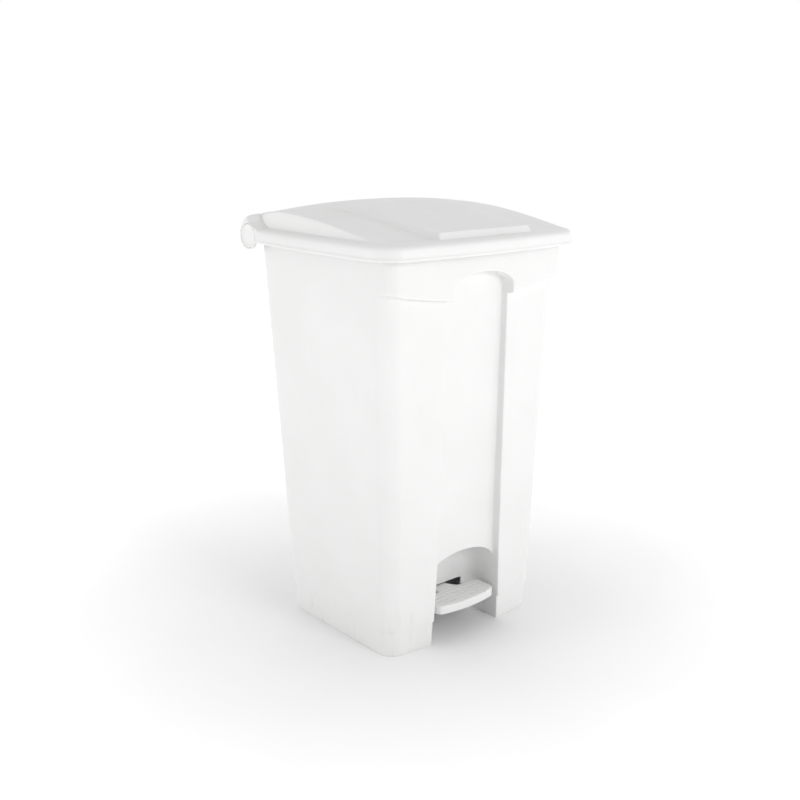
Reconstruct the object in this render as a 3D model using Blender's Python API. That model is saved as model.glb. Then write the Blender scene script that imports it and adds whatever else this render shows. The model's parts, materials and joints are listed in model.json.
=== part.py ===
"""Foot-operated waste bin of about 87 litres: tapered body, hinged lid, pedal and push rod.

Metres, +Z up. The pedal faces -Y. Dimensions are given from the middle of the body, and the empty
bin_centre moves the whole bin by CENTRE_Y, so that the origin is on the floor under the middle of its box.
"""

import math

import bmesh
import bpy
from mathutils import Matrix

# Overall form of the body: half width, front and back of each level, and corner radii
FOOT_LEVEL = 0.0
BAND_TOP = 0.0495
BODY_BASE = 0.0505
RIM_LEVEL = 0.7445
BODY_TOP = 0.757
BACK_WALL_TOP = 0.724
WALL = 0.0035
FLOOR_UNDER = 0.100
FLOOR_TOP = 0.1035
GAP = 0.0003
CENTRE_Y = -0.00325

SECTION_KEYS = ("half", "front", "bow", "back", "r_front", "r_back")
FOOT_SECTION = dict(zip(SECTION_KEYS, (0.188, -0.1522, 0.0095, 0.153, 0.0287, 0.0214)))
BAND_SECTION = dict(zip(SECTION_KEYS, (0.1892, -0.1535, 0.0095, 0.1543, 0.0287, 0.0214)))
BASE_SECTION = dict(zip(SECTION_KEYS, (0.1906, -0.157, 0.0095, 0.157, 0.0287, 0.0216)))
RIM_SECTION = dict(zip(SECTION_KEYS, (0.217, -0.1715, 0.0062, 0.193, 0.038, 0.012)))
COLLAR_SECTION = dict(RIM_SECTION, front=-0.183, bow=0.0085, r_front=0.022)

LEDGE_MIDDLE = 0.6600
LEDGE_RISE = 0.022
FLANGE = 0.010
FLANGE_THICK = 0.0045

# Front channel and pedal niche
CHANNEL_OUTLINE = ((0.088, 0.0), (0.0815, 0.157), (0.0748, 0.66), (0.0748, 0.683))
CHANNEL_ARCH_RISE = 0.0275
CHANNEL_FLOOR_LOW = -0.1485
CHANNEL_FLOOR_HIGH = -0.1620
NICHE_HALF = 0.0820
NICHE_STEP = 0.0006
NICHE_SPRING = 0.132
NICHE_RISE = 0.035
NICHE_BACK = -0.080
NICHE_CORNER = 0.034
SLOT_HALF = 0.0628
SLOT_TOP = 0.0715

# Hinge line of the lid
HINGE_Y = 0.1955
HINGE_Z = 0.7562
BARREL_RADIUS = 0.0255
BARREL_INNER_END = 0.148
BARREL_END = 0.2445
EAR_INNER = 0.2385
BEARING_END = 0.178
BUSH_END = 0.175
BUSH_ROOM = 0.0075
HINGE_ROD_RADIUS = 0.004
HINGE_ROD_END = 0.2412
CAP_RADIUS = 0.0225
CAP_DEPTH = 0.0025
CORNER_TOP = 0.741
CORNER_INNER = 0.182

# Lid
LID_SECTION = dict(zip(SECTION_KEYS, (0.2445, -0.2043, 0.0167, 0.190, 0.051, 0.008)), side_bow=0.0080)
LEDGE_TOP = 0.7705
LEDGE_SLOPE_RISE = 0.0030
LID_THICK = 0.003
DOME_INSET = 0.0200
DOME_WALL = 0.0035
DOME_LOW = 0.7740
DOME_RISE = 0.0320
DOME_CROWN = 0.0135
DOME_PEAK_Y = 0.110
DOME_FRONT_Y = -0.165
DOME_BACK_Y = 0.172
PANEL_FRONT = -0.193
PANEL_TOP_FRONT = -0.181
PANEL_BACK = 0.075
PANEL_HALF_FRONT = 0.111
PANEL_HALF_BACK = 0.160
PANEL_STEP = 0.012

# Hood over the hinge: its ends sweep down from full height to the lid's edge
HOOD_START_Y = 0.160
HOOD_WALL = 0.0035
HOOD_BACK = 0.0320
HOOD_TURN = math.radians(60)
HOOD_FULL = (0.206, 0.232)
HOOD_EDGE = (0.220, 0.2445)
HOOD_COLUMNS = (0.2440, 0.2430, 0.2410, 0.2380, 0.2350, 0.2320, 0.2260, 0.2200, 0.2160, 0.2120, 0.2060,
                0.100)
EAR_START_Y = 0.150
EAR_JOIN = math.radians(115)

# Lid lever
SLOT_PLAY = 0.0019
LID_LEVER_SCREW_Y = 0.1695
LID_LEVER_SCREW_XS = {"lid_lever_screw_left": -0.024, "lid_lever_screw_right": 0.024}
LEVER_SEAT = LEDGE_TOP - 0.004
LEVER_PLATE_TOP = LEVER_SEAT - GAP
SCREW_RADIUS = 0.0018
SCREW_HOLE = 0.0021
SCREW_HEAD = 0.0040
BUFFER_PLACES = {"lid_buffer_left": (-0.12, -0.192), "lid_buffer_right": (0.12, -0.192)}
BUFFER_RADIUS = 0.0050
BUFFER_TOP = LEDGE_TOP - 0.0010

# Rear channel, rod and guides
REAR_CHANNEL_HALF = 0.0250
REAR_CHANNEL_DEPTH = 0.0240
ROD_DEPTH = 0.0155
ROD_RADIUS = 0.003
REAR_SLOPE = (RIM_SECTION["back"] - BASE_SECTION["back"]) / (RIM_LEVEL - BODY_BASE)
ROD_TILT = math.atan(REAR_SLOPE)
TOP_PIN_Z = 0.7408
PIN_RADIUS = 0.0025
COVER_HALF = 0.034
COVER_THICK = 0.0025
COVER_LOW = 0.056
COVER_HIGH = 0.716
GUIDE_LEVELS = {"rod_guide_lower": 0.200, "rod_guide_upper": 0.620}

# Pedal mechanism
AXLE_Y = -0.020
AXLE_Z = 0.060
AXLE_RADIUS = 0.004
LEVER_PIN_Z = 0.0445
LEVER_PIN_RADIUS = 0.003
ARM_IN = 0.0135
ARM_OUT = 0.0175
BRACKET_IN = 0.030
BRACKET_OUT = 0.040
TREAD_HALF = 0.0745
TREAD_TOP = 0.0750
TREAD_UNDER = 0.0620
TREAD_FRONT = -0.1640
TREAD_BOW = 0.0095
TREAD_REAR = -0.1150
NECK_HALF = 0.0215
NECK_END = -0.070
TREADLE_SCREW_YS = {"treadle_screw_front": -0.143, "treadle_screw_rear": -0.112}

HELPERS = "cutters"


# ---------------------------------------------------------------- helpers

def clear_scene():
    for item in list(bpy.data.objects):
        bpy.data.objects.remove(item, do_unlink=True)


def make_material(name, colour, roughness, metallic=0.0):
    material = bpy.data.materials.new(name)
    material.use_nodes = True
    shader = material.node_tree.nodes["Principled BSDF"]
    shader.inputs["Base Color"].default_value = (*colour, 1.0)
    shader.inputs["Roughness"].default_value = roughness
    shader.inputs["Metallic"].default_value = metallic
    return material


def make_object(name, mesh, material=None):
    obj = bpy.data.objects.new(name, mesh)
    bpy.context.scene.collection.objects.link(obj)
    if material:
        mesh.materials.append(material)
        mesh.shade_smooth()
        mesh.set_sharp_from_angle(angle=math.radians(32))
    else:
        obj.hide_render = True
        obj.display_type = "WIRE"
    return obj


def mesh_of(points, faces):
    """A mesh whose faces are turned to point out."""
    mesh = bpy.data.meshes.new("shape")
    mesh.from_pydata(points, [], faces)
    shape = bmesh.new()
    shape.from_mesh(mesh)
    bmesh.ops.recalc_face_normals(shape, faces=shape.faces)
    shape.to_mesh(mesh)
    shape.free()
    return mesh


def skin(rings):
    """A closed mesh through rings of equal length, closed by a face at each end."""
    count = len(rings[0])
    points = [point for ring in rings for point in ring]
    faces = [tuple(reversed(range(count)))]
    for level in range(len(rings) - 1):
        low = level * count
        for i in range(count):
            j = (i + 1) % count
            faces.append((low + i, low + j, low + count + j, low + count + i))
    faces.append(tuple(range((len(rings) - 1) * count, len(rings) * count)))
    return mesh_of(points, faces)


def prism_x(outline, low, high):
    """An outline of (y, z) points pushed along X."""
    return skin([[(x, y, z) for y, z in outline] for x in (low, high)])


def prism_z(outline, low, high):
    """An outline of (x, y) points pushed along Z."""
    return skin([[(x, y, z) for x, y in outline] for z in (low, high)])


def box(low, high):
    corners = ((low[0], low[1]), (high[0], low[1]), (high[0], high[1]), (low[0], high[1]))
    return prism_z(corners, low[2], high[2])


def circle(cy, cz, radius, steps=24, start=0.0, end=2 * math.pi):
    whole = abs(end - start - 2 * math.pi) < 1e-6
    count = steps if whole else steps + 1
    turns = [start + (end - start) * i / steps for i in range(count)]
    return [(cy + radius * math.cos(a), cz + radius * math.sin(a)) for a in turns]


def tube_x(cy, cz, radius, low, high, steps=24):
    return prism_x(circle(cy, cz, radius, steps), low, high)


def boolean(obj, operation, *meshes):
    """Adds or removes shapes. Each becomes a hidden helper object."""
    for number, shape in enumerate(meshes):
        helper = shape
        if isinstance(shape, bpy.types.Mesh):
            helper = make_object(f"{HELPERS}_{obj.name}_{len(obj.modifiers)}", shape)
        modifier = obj.modifiers.new(f"{operation.lower()}_{number}", "BOOLEAN")
        modifier.operation = operation
        modifier.solver = "EXACT"
        modifier.object = helper
    return obj


def cut(obj, *meshes):
    return boolean(obj, "DIFFERENCE", *meshes)


def join(obj, *meshes):
    return boolean(obj, "UNION", *meshes)


def tilted(obj, y, z, angle):
    """Turns an object about the X line through (y, z), where its points are given from that line."""
    obj.location = (0.0, y, z)
    obj.rotation_euler = (angle, 0.0, 0.0)
    return obj


# ---------------------------------------------------------------- outlines

def outline(section, inset=0.0):
    """A rounded rectangle whose front bows forward, as (x, y) points that start at the front left."""
    half = section["half"] - inset
    front = section["front"] + inset
    back = section["back"] - inset
    r_front = max(section["r_front"] - inset, 0.004)
    r_back = max(section["r_back"] - inset, 0.003)
    bow = section["bow"]
    side_bow = section.get("side_bow", 0.0)
    middle = (front + back) / 2
    reach = (back - front) / 2
    points = []

    def add(x, y, bowed):
        if bowed:
            y -= bow * (1 - (x / half) ** 2)
        out = side_bow * max(0.0, 1 - ((y - middle) / reach) ** 2)
        points.append((x + math.copysign(out, x) * min(1.0, abs(x) / (half * 0.8)), y))

    flat = half - r_front
    for i in range(1, 10):
        add(-flat + 2 * flat * i / 10, front, True)
    for i in range(7):
        angle = -math.pi / 2 + i * math.pi / 12
        add(flat + r_front * math.cos(angle), front + r_front + r_front * math.sin(angle), True)
    side_low = front + r_front
    side_high = back - r_back
    for i in range(1, 6):
        add(half, side_low + (side_high - side_low) * i / 6, False)
    for i in range(4):
        angle = i * math.pi / 6
        add(half - r_back + r_back * math.cos(angle), side_high + r_back * math.sin(angle), False)
    for i in range(1, 4):
        add((half - r_back) * (1 - i / 2), back, False)
    for i in range(3):
        angle = math.pi / 2 + (i + 1) * math.pi / 6
        add(-half + r_back + r_back * math.cos(angle), side_high + r_back * math.sin(angle), False)
    for i in range(1, 6):
        add(-half, side_high + (side_low - side_high) * i / 6, False)
    for i in range(7):
        angle = math.pi + i * math.pi / 12
        add(-flat + r_front * math.cos(angle), front + r_front + r_front * math.sin(angle), True)
    return points


def between(low, high, share):
    return {key: low[key] + (high[key] - low[key]) * share for key in low}


def body_share(z):
    return (z - BODY_BASE) / (RIM_LEVEL - BODY_BASE)


def body_section(z):
    return between(BASE_SECTION, RIM_SECTION, body_share(z))


def collar_section(z):
    """The collar is flush with the body at the sides and proud of it in front."""
    section = body_section(z)
    for key in ("front", "bow", "r_front"):
        section[key] = COLLAR_SECTION[key]
    return section


def back_wall_y(z):
    return BASE_SECTION["back"] + REAR_SLOPE * (z - BODY_BASE)


def ledge_z(x):
    return LEDGE_MIDDLE + LEDGE_RISE * min(1.0, abs(x) / 0.2) ** 2


# ---------------------------------------------------------------- body shell

def at_height(points, z):
    return [(x, y, z) for x, y in points]


def on_ledge(section_at, lift, inset=0.0):
    """The ring that follows the collar's lower edge, which is highest at the corners."""
    middle = outline(section_at(LEDGE_MIDDLE), inset)
    ring = []
    for i, (x, _) in enumerate(middle):
        z = ledge_z(x) + lift
        px, py = outline(section_at(z), inset)[i]
        ring.append((px, py, z))
    return ring


def body_rings(inset, lift):
    return [
        on_ledge(body_section, lift, inset),
        on_ledge(collar_section, lift + 0.0015, inset),
    ]


def channel_points(grow):
    """Front channel as (x, z) points: tapered sides under an arch."""
    right = [(x + grow, z) for x, z in CHANNEL_OUTLINE]
    right[0] = (right[0][0], -0.02)
    half, spring = right[-1]
    rise = CHANNEL_ARCH_RISE + grow
    turns = [i * math.pi / 14 for i in range(1, 14)]
    arch = [(half * math.cos(a), spring + rise * math.sin(a)) for a in turns]
    left = [(-x, z) for x, z in reversed(right)]
    return right + arch + left


def channel_floor(z):
    return CHANNEL_FLOOR_LOW + (CHANNEL_FLOOR_HIGH - CHANNEL_FLOOR_LOW) * (z - 0.15) / 0.55


def channel_mesh(grow):
    points = channel_points(grow)
    front = [(x, -0.30, z) for x, z in points]
    back = [(x, channel_floor(z) + grow, z) for x, z in points]
    return skin([front, back])


def niche_plan(half, grow):
    """Plan of the niche at one level, with a round corner on each side of its back."""
    back = NICHE_BACK + grow
    corner = NICHE_CORNER + grow
    right = [(half, -0.30)]
    for i in range(7):
        angle = i * math.pi / 12
        right.append((half - corner + corner * math.cos(angle), back - corner + corner * math.sin(angle)))
    return [(-half, -0.30)] + right + [(-x, y) for x, y in reversed(right[1:])]


def niche_mesh(grow):
    """The niche stands flush with the channel's sides and has a vaulted top."""
    foot_half = CHANNEL_OUTLINE[0][0] - NICHE_STEP + grow
    rings = [at_height(niche_plan(foot_half, grow), level) for level in (-0.15, 0.0)]
    plan = niche_plan(NICHE_HALF + grow, grow)
    for i in range(8):
        angle = i * math.pi / 16
        level = NICHE_SPRING + (NICHE_RISE + grow) * math.sin(angle)
        limit = (NICHE_HALF + grow) * math.cos(angle)
        rings.append([(max(-limit, min(limit, x)), y, level) for x, y in plan])
    return skin(rings)


def rear_channel_mesh(grow, low, high):
    half = REAR_CHANNEL_HALF + grow
    inner = REAR_CHANNEL_DEPTH + grow
    profile = [(back_wall_y(z) + shift, z) for z, shift in
               ((low, -inner), (low, 0.08), (high, 0.08), (high, -inner))]
    return prism_x(profile, -half, half)


def knuckle_outline():
    """A round eye on the hinge line with a web down to the back wall."""
    eye = circle(HINGE_Y, HINGE_Z, 0.012, 18, math.radians(-50), math.radians(180))
    return eye + [(back_wall_y(0.70) - WALL - 0.012, BACK_WALL_TOP), (back_wall_y(0.70) - WALL, 0.700),
                  (back_wall_y(0.70) - 0.001, 0.700), (back_wall_y(BACK_WALL_TOP) - 0.001, BACK_WALL_TOP)]


def make_body(white):
    rings = [
        at_height(outline(FOOT_SECTION), FOOT_LEVEL),
        at_height(outline(BAND_SECTION), BAND_TOP),
        at_height(outline(BASE_SECTION), BODY_BASE),
        *body_rings(0.0, 0.0),
        at_height(outline(collar_section(BODY_TOP - FLANGE_THICK)), BODY_TOP - FLANGE_THICK),
        at_height(outline(collar_section(BODY_TOP), -FLANGE), BODY_TOP - FLANGE_THICK + 0.0006),
        at_height(outline(collar_section(BODY_TOP), -FLANGE), BODY_TOP),
    ]
    body = make_object("body_shell", skin(rings), white)

    hollow = make_object("body_hollow", skin([
        at_height(outline(body_section(FLOOR_TOP), WALL), FLOOR_TOP),
        *body_rings(WALL, WALL),
        at_height(outline(collar_section(BODY_TOP), WALL), BODY_TOP + 0.01),
    ]))
    cut(hollow, channel_mesh(WALL), niche_mesh(WALL), rear_channel_mesh(WALL, -0.05, 0.9))

    underside = make_object("body_underside", skin([
        at_height(outline(FOOT_SECTION, WALL), -0.01),
        at_height(outline(BAND_SECTION, WALL), BAND_TOP),
        at_height(outline(body_section(FLOOR_UNDER), WALL), FLOOR_UNDER),
    ]))
    cut(underside, channel_mesh(WALL), niche_mesh(WALL))

    cut(body, channel_mesh(0.0), niche_mesh(0.0))
    cut(body, rear_channel_mesh(0.0, 0.0985, 0.9))
    cut(body, hollow, underside)
    cut(body, box((-SLOT_HALF, -0.12, -0.05), (SLOT_HALF, -0.05, SLOT_TOP)))
    cut(body, box((-REAR_CHANNEL_HALF, 0.10, -0.05), (REAR_CHANNEL_HALF, 0.30, FLOOR_UNDER)))
    cut(body, box((-CORNER_INNER, 0.150, BACK_WALL_TOP), (CORNER_INNER, 0.30, 0.80)))
    cut(body, box((-0.30, 0.150, CORNER_TOP), (0.30, 0.30, 0.80)))
    for side in (-1, 1):
        low, high = sorted((side * 0.095, side * 0.145))
        join(body, prism_x(knuckle_outline(), low, high))
    cut(body, tube_x(HINGE_Y, HINGE_Z, HINGE_ROD_RADIUS + GAP, -0.16, 0.16, 20))
    for x, y in bracket_screw_places():
        cut(body, vertical_tube(x, y, SCREW_HOLE, FLOOR_UNDER - 0.01, FLOOR_TOP - 0.0006))
    weld = body.modifiers.new("weld", "WELD")
    weld.merge_threshold = 0.00002
    return body


def vertical_tube(x, y, radius, low, high, steps=14):
    turns = [2 * math.pi * i / steps for i in range(steps)]
    return prism_z([(x + radius * math.cos(a), y + radius * math.sin(a)) for a in turns], low, high)


# ---------------------------------------------------------------- lid shell

def dome_edge(y):
    """Height of the dome along its sides: a long rise to the peak, then a short fall to the hinge."""
    if y > DOME_PEAK_Y:
        return DOME_LOW + DOME_RISE - 0.010 * ((y - DOME_PEAK_Y) / 0.07) ** 2
    share = max(0.0, (y - DOME_FRONT_Y) / (DOME_PEAK_Y - DOME_FRONT_Y))
    return DOME_LOW + DOME_RISE * math.sin(share * math.pi / 2)


def dome_z(x, y):
    edge = dome_edge(y)
    crown = DOME_CROWN * (edge - DOME_LOW) / DOME_RISE
    return edge + crown * (1 - min(1.0, abs(x) / 0.2215) ** 2.2)


def lid_ring(inset, height, drop=0.0):
    ring = outline(LID_SECTION, inset)
    return [(x, min(y, DOME_BACK_Y + 0.012) if inset > 0.01 else y, height - drop) for x, y in ring]


def dome_ring(inset, drop, scale=1.0):
    ring = []
    for x, y in outline(LID_SECTION, inset):
        y = min(y, DOME_BACK_Y)
        px = x * scale
        py = DOME_PEAK_Y * 0.2 * (1 - scale) + y * scale
        ring.append((px, py, dome_z(px, py) - drop))
    return ring


def lid_skin(thick):
    """Outer skin of the lid, or its hollow when a thickness is given."""
    bottom = RIM_LEVEL if thick == 0.0 else RIM_LEVEL - 0.02
    rings = [
        lid_ring(thick, bottom),
        lid_ring(thick, RIM_LEVEL + 0.004),
        lid_ring(thick + 0.002, RIM_LEVEL + 0.005),
        lid_ring(thick + 0.0025, LEDGE_TOP - 0.003, thick),
        lid_ring(thick + 0.0055, LEDGE_TOP, thick),
        lid_ring(DOME_INSET + thick, LEDGE_TOP + LEDGE_SLOPE_RISE, thick),
        dome_ring(DOME_INSET + DOME_WALL + thick, thick),
    ]
    rings += [dome_ring(DOME_INSET + DOME_WALL + thick, thick, scale) for scale in (0.86, 0.68, 0.46, 0.22)]
    return skin(rings)


def panel_mesh():
    """Raised centre panel: full step at its front, running out towards the back."""
    rows = []
    count = 8
    for i in range(count + 1):
        y = PANEL_TOP_FRONT + (PANEL_BACK - PANEL_TOP_FRONT) * i / count
        share = i / count
        half = PANEL_HALF_FRONT + (PANEL_HALF_BACK - PANEL_HALF_FRONT) * share
        step = PANEL_STEP * (1 - share) ** 1.2 + 0.0002
        top = [(half * k / 4, y, dome_z(half * k / 4, y) + step) for k in range(-4, 5)]
        low = [(half * k / 4 * 1.02, y, dome_z(half * k / 4, y) - 0.0024) for k in range(4, -5, -1)]
        rows.append(top + low)
    first = []
    for i, (x, y, _) in enumerate(rows[0]):
        first.append((x, PANEL_FRONT, dome_z(x, y) + (0.0006 if i < 9 else -0.0024)))
    return skin([first] + rows)


def curve(points, share):
    """A point of the cubic curve that four (y, z) points steer."""
    rest = 1 - share
    weights = (rest ** 3, 3 * rest * rest * share, 3 * rest * share * share, share ** 3)
    return tuple(sum(weight * point[k] for weight, point in zip(weights, points)) for k in (0, 1))


def hood_curve(share, inset=0.0, start_y=HOOD_START_Y):
    """Top of the hood, from the dome's back edge round to the back of the barrel."""
    start = dome_z(HOOD_FULL[0], HOOD_START_Y) - 0.001 - inset
    back = HINGE_Y + HOOD_BACK - inset
    points = ((start_y, start), (0.188, start - 0.001), (back + 0.0005, 0.796 - inset), (back, HINGE_Z))
    return curve(points, share)


def ear_curve(share):
    """Lid edge at the barrel's end: up from the ledge on to the barrel, then round it."""
    radius = BARREL_RADIUS - 0.0005
    climb = 0.4
    if share > climb:
        turn = EAR_JOIN * (1 - share) / (1 - climb)
        return (HINGE_Y + radius * math.cos(turn), HINGE_Z + radius * math.sin(turn))
    top = (HINGE_Y + radius * math.cos(EAR_JOIN), HINGE_Z + radius * math.sin(EAR_JOIN))
    lead = (top[0] - 0.010 * math.sin(EAR_JOIN), top[1] + 0.010 * math.cos(EAR_JOIN))
    low = LEDGE_TOP - 0.0006
    return curve(((EAR_START_Y, low), (EAR_START_Y + 0.018, low), lead, top), share / climb)


def hood_share(size, y):
    """How far the hood has grown from the ear: a soft valley in front, a round shoulder behind."""
    behind = soft((y - 0.163) / 0.030)
    edge = HOOD_EDGE[0] + (HOOD_EDGE[1] - HOOD_EDGE[0]) * behind
    full = HOOD_FULL[0] + (HOOD_FULL[1] - HOOD_FULL[0]) * behind
    inward = max(0.0, min(1.0, (edge - size) / (edge - full)))
    shoulder = math.sqrt(1 - (1 - inward) ** 2)
    return soft(inward) + (shoulder - soft(inward)) * behind


def soft(share):
    share = max(0.0, min(1.0, share))
    return share * share * (3 - 2 * share)


def hood_mesh():
    rings = []
    ear_radius = BARREL_RADIUS - 0.0005
    for x in [-x for x in HOOD_COLUMNS] + list(reversed(HOOD_COLUMNS)):
        ring = []
        for i in range(13):
            (ear_y, ear_z), (hood_y, hood_z) = ear_curve(i / 12), hood_curve(i / 12)
            share = hood_share(abs(x), hood_y)
            ring.append((x, ear_y + (hood_y - ear_y) * share, ear_z + (hood_z - ear_z) * share))
        share = hood_share(abs(x), HINGE_Y + HOOD_BACK)
        for i in range(1, 5):
            turn = -HOOD_TURN * i / 4
            radius = ear_radius + (HOOD_BACK - ear_radius) * share * (1 - (i / 4) ** 2)
            ring.append((x, HINGE_Y + radius * math.cos(turn), HINGE_Z + radius * math.sin(turn)))
        rings.append(ring + [(x, EAR_START_Y, LEDGE_TOP - 0.006)])
    return skin(rings)


def ear_room():
    """Open room between the inner bearing and the ear, as (y, z) points."""
    radius = BARREL_RADIUS - HOOD_WALL
    meet = math.pi - math.asin((LEVER_SEAT - HINGE_Z) / radius)
    return circle(HINGE_Y, HINGE_Z, radius, 16, 0.0, meet) + [
        (EAR_START_Y, LEVER_SEAT), (EAR_START_Y, 0.70), (0.26, 0.70), (0.26, HINGE_Z)]


def knuckle_room():
    """Room under the hood for the body's knuckles and the lid lever, as (y, z) points."""
    wall_y = HOOD_START_Y + HOOD_WALL + 0.003
    seat_y = 0.1765
    return [hood_curve(i / 12, HOOD_WALL, wall_y) for i in range(13)] + [
        (0.26, HINGE_Z), (0.26, 0.70), (EAR_START_Y, 0.70), (EAR_START_Y, LEVER_SEAT), (seat_y, LEVER_SEAT),
        (seat_y, LEVER_SEAT + 0.0135), (wall_y, LEVER_SEAT + 0.0135)]


def make_lid(white):
    lid = make_object("lid_shell", lid_skin(0.0), white)
    join(lid, panel_mesh())
    join(lid, hood_mesh())
    join(lid, tube_x(HINGE_Y, HINGE_Z, BARREL_RADIUS, -BARREL_END, BARREL_END, 32))
    hollow = make_object("lid_hollow", lid_skin(LID_THICK))
    cut(hollow, prism_x([(0.163, 0.70), (0.30, 0.70), (0.30, 0.90), (0.163, 0.90)], -0.30, 0.30))
    cut(lid, hollow)
    cut(lid, prism_x(knuckle_room(), -BARREL_INNER_END, BARREL_INNER_END))
    cut(lid, tube_x(HINGE_Y, HINGE_Z, BUSH_ROOM, -EAR_INNER, EAR_INNER, 20))
    cut(lid, tube_x(HINGE_Y, HINGE_Z, HINGE_ROD_RADIUS + GAP, -0.26, 0.26, 20))
    for side in (-1, 1):
        low, high = sorted((side * BEARING_END, side * EAR_INNER))
        cut(lid, prism_x(ear_room(), low, high))
        low, high = sorted((side * (BARREL_END - CAP_DEPTH - GAP), side * (BARREL_END + 0.01)))
        cut(lid, tube_x(HINGE_Y, HINGE_Z, CAP_RADIUS + GAP, low, high, 32))
    for x in LID_LEVER_SCREW_XS.values():
        cut(lid, vertical_tube(x, LID_LEVER_SCREW_Y, SCREW_HOLE, 0.70, LEVER_PLATE_TOP + 0.009))
    return lid


# ---------------------------------------------------------------- hinge pieces

def make_hinge(steel, white, grey):
    rod = tube_x(HINGE_Y, HINGE_Z, HINGE_ROD_RADIUS, -HINGE_ROD_END, HINGE_ROD_END, 20)
    make_object("hinge_rod", rod, steel)
    for name, side in (("left", -1), ("right", 1)):
        low, high = sorted((side * (BARREL_END - CAP_DEPTH), side * BARREL_END))
        cap = make_object(f"hinge_cap_{name}", tube_x(HINGE_Y, HINGE_Z, CAP_RADIUS, low, high, 32), white)
        dish_low, dish_high = sorted((side * (BARREL_END - 0.0012), side * (BARREL_END + 0.01)))
        cut(cap, tube_x(HINGE_Y, HINGE_Z, CAP_RADIUS - 0.0035, dish_low, dish_high, 32))
        low, high = sorted((side * (BARREL_INNER_END + GAP), side * BUSH_END))
        bush = make_object(f"hinge_bush_{name}", tube_x(HINGE_Y, HINGE_Z, 0.0072, low, high, 20), grey)
        cut(bush, tube_x(HINGE_Y, HINGE_Z, HINGE_ROD_RADIUS + GAP, -0.3, 0.3, 20))


# ---------------------------------------------------------------- lid lever

def lid_lever_slot():
    """Slot for the rod's top pin, pointing at the hinge line."""
    pin_y = rod_y(TOP_PIN_Z)
    angle = math.atan2(TOP_PIN_Z - HINGE_Z, pin_y - HINGE_Y)
    reach = math.hypot(TOP_PIN_Z - HINGE_Z, pin_y - HINGE_Y)
    half = PIN_RADIUS + SLOT_PLAY
    near = (HINGE_Y + (reach - 0.008) * math.cos(angle), HINGE_Z + (reach - 0.008) * math.sin(angle))
    far = (HINGE_Y + (reach + 0.001) * math.cos(angle), HINGE_Z + (reach + 0.001) * math.sin(angle))
    quarter = math.pi / 2
    return (circle(*near, half, 8, angle + quarter, angle + 3 * quarter)
            + circle(*far, half, 8, angle - quarter, angle + quarter))


def make_lid_lever(steel):
    plate = box((-0.031, 0.1635, LEVER_PLATE_TOP - 0.003), (0.031, 0.1755, LEVER_PLATE_TOP))
    lever = make_object("lid_lever", plate, steel)
    cheek_top = LEVER_PLATE_TOP - 0.001
    cheek = [(0.1640, cheek_top), (0.1640, 0.742), (0.170, 0.7335), (0.178, 0.7325), (0.186, 0.740),
             (0.1895, 0.750), (0.184, 0.7595), (0.1750, cheek_top)]
    for side in (-1, 1):
        low, high = sorted((side * 0.0075, side * 0.0105))
        join(lever, prism_x(cheek, low, high))
    cut(lever, prism_x(lid_lever_slot(), -0.02, 0.02))
    for x in LID_LEVER_SCREW_XS.values():
        cut(lever, vertical_tube(x, LID_LEVER_SCREW_Y, SCREW_HOLE, 0.70, 0.80))
    return lever


# ---------------------------------------------------------------- push rod

def rod_y(z):
    return back_wall_y(z) - ROD_DEPTH


def make_push_rod(steel):
    """The rod's mesh is upright about its lower pin, and the object leans with the back wall."""
    base_y = rod_y(LEVER_PIN_Z)
    reach = (TOP_PIN_Z - LEVER_PIN_Z) / math.cos(ROD_TILT)
    turns = [2 * math.pi * i / 16 for i in range(16)]
    shaft = [(ROD_RADIUS * math.cos(a), ROD_RADIUS * math.sin(a)) for a in turns]
    rod = make_object("push_rod", prism_z(shaft, 0.010, reach - 0.003), steel)
    eye = [(-0.0105, -0.007), (0.0105, -0.007), (0.0105, 0.009), (0.005, 0.016), (-0.005, 0.016),
           (-0.0105, 0.009)]
    helpers = [prism_x(eye, -0.0055, 0.0055), prism_x(circle(0.0, reach, 0.0055, 16), -0.0055, 0.0055)]
    slot = circle(-0.003, 0.0, LEVER_PIN_RADIUS + 0.0008, 8, math.pi / 2, 1.5 * math.pi)
    slot += circle(0.003, 0.0, LEVER_PIN_RADIUS + 0.0008, 8, -math.pi / 2, math.pi / 2)
    cutters = [prism_x(slot, -0.02, 0.02), tube_x(0.0, reach, PIN_RADIUS + GAP, -0.02, 0.02, 16)]
    join(rod, *helpers)
    cut(rod, *cutters)
    tilted(rod, base_y, LEVER_PIN_Z, -ROD_TILT)
    for modifier in rod.modifiers:
        tilted(modifier.object, base_y, LEVER_PIN_Z, -ROD_TILT)
    pin_y = base_y + reach * math.sin(ROD_TILT)
    pin_z = LEVER_PIN_Z + reach * math.cos(ROD_TILT)
    make_object("rod_top_pin", tube_x(pin_y, pin_z, PIN_RADIUS, -0.0130, 0.0130, 16), steel)


def cover_screw_places():
    return [(x, level) for level in GUIDE_LEVELS.values() for x in (-0.0175, 0.0175)]


def leaning_tube(x, z, radius, near, far, steps=14):
    """A round along Y at a height, from one depth behind the back wall to another."""
    turns = [2 * math.pi * i / steps for i in range(steps)]
    rings = [[(x + radius * math.cos(a), back_wall_y(z) + depth, z + radius * math.sin(a)) for a in turns]
             for depth in (near, far)]
    return skin(rings)


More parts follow.
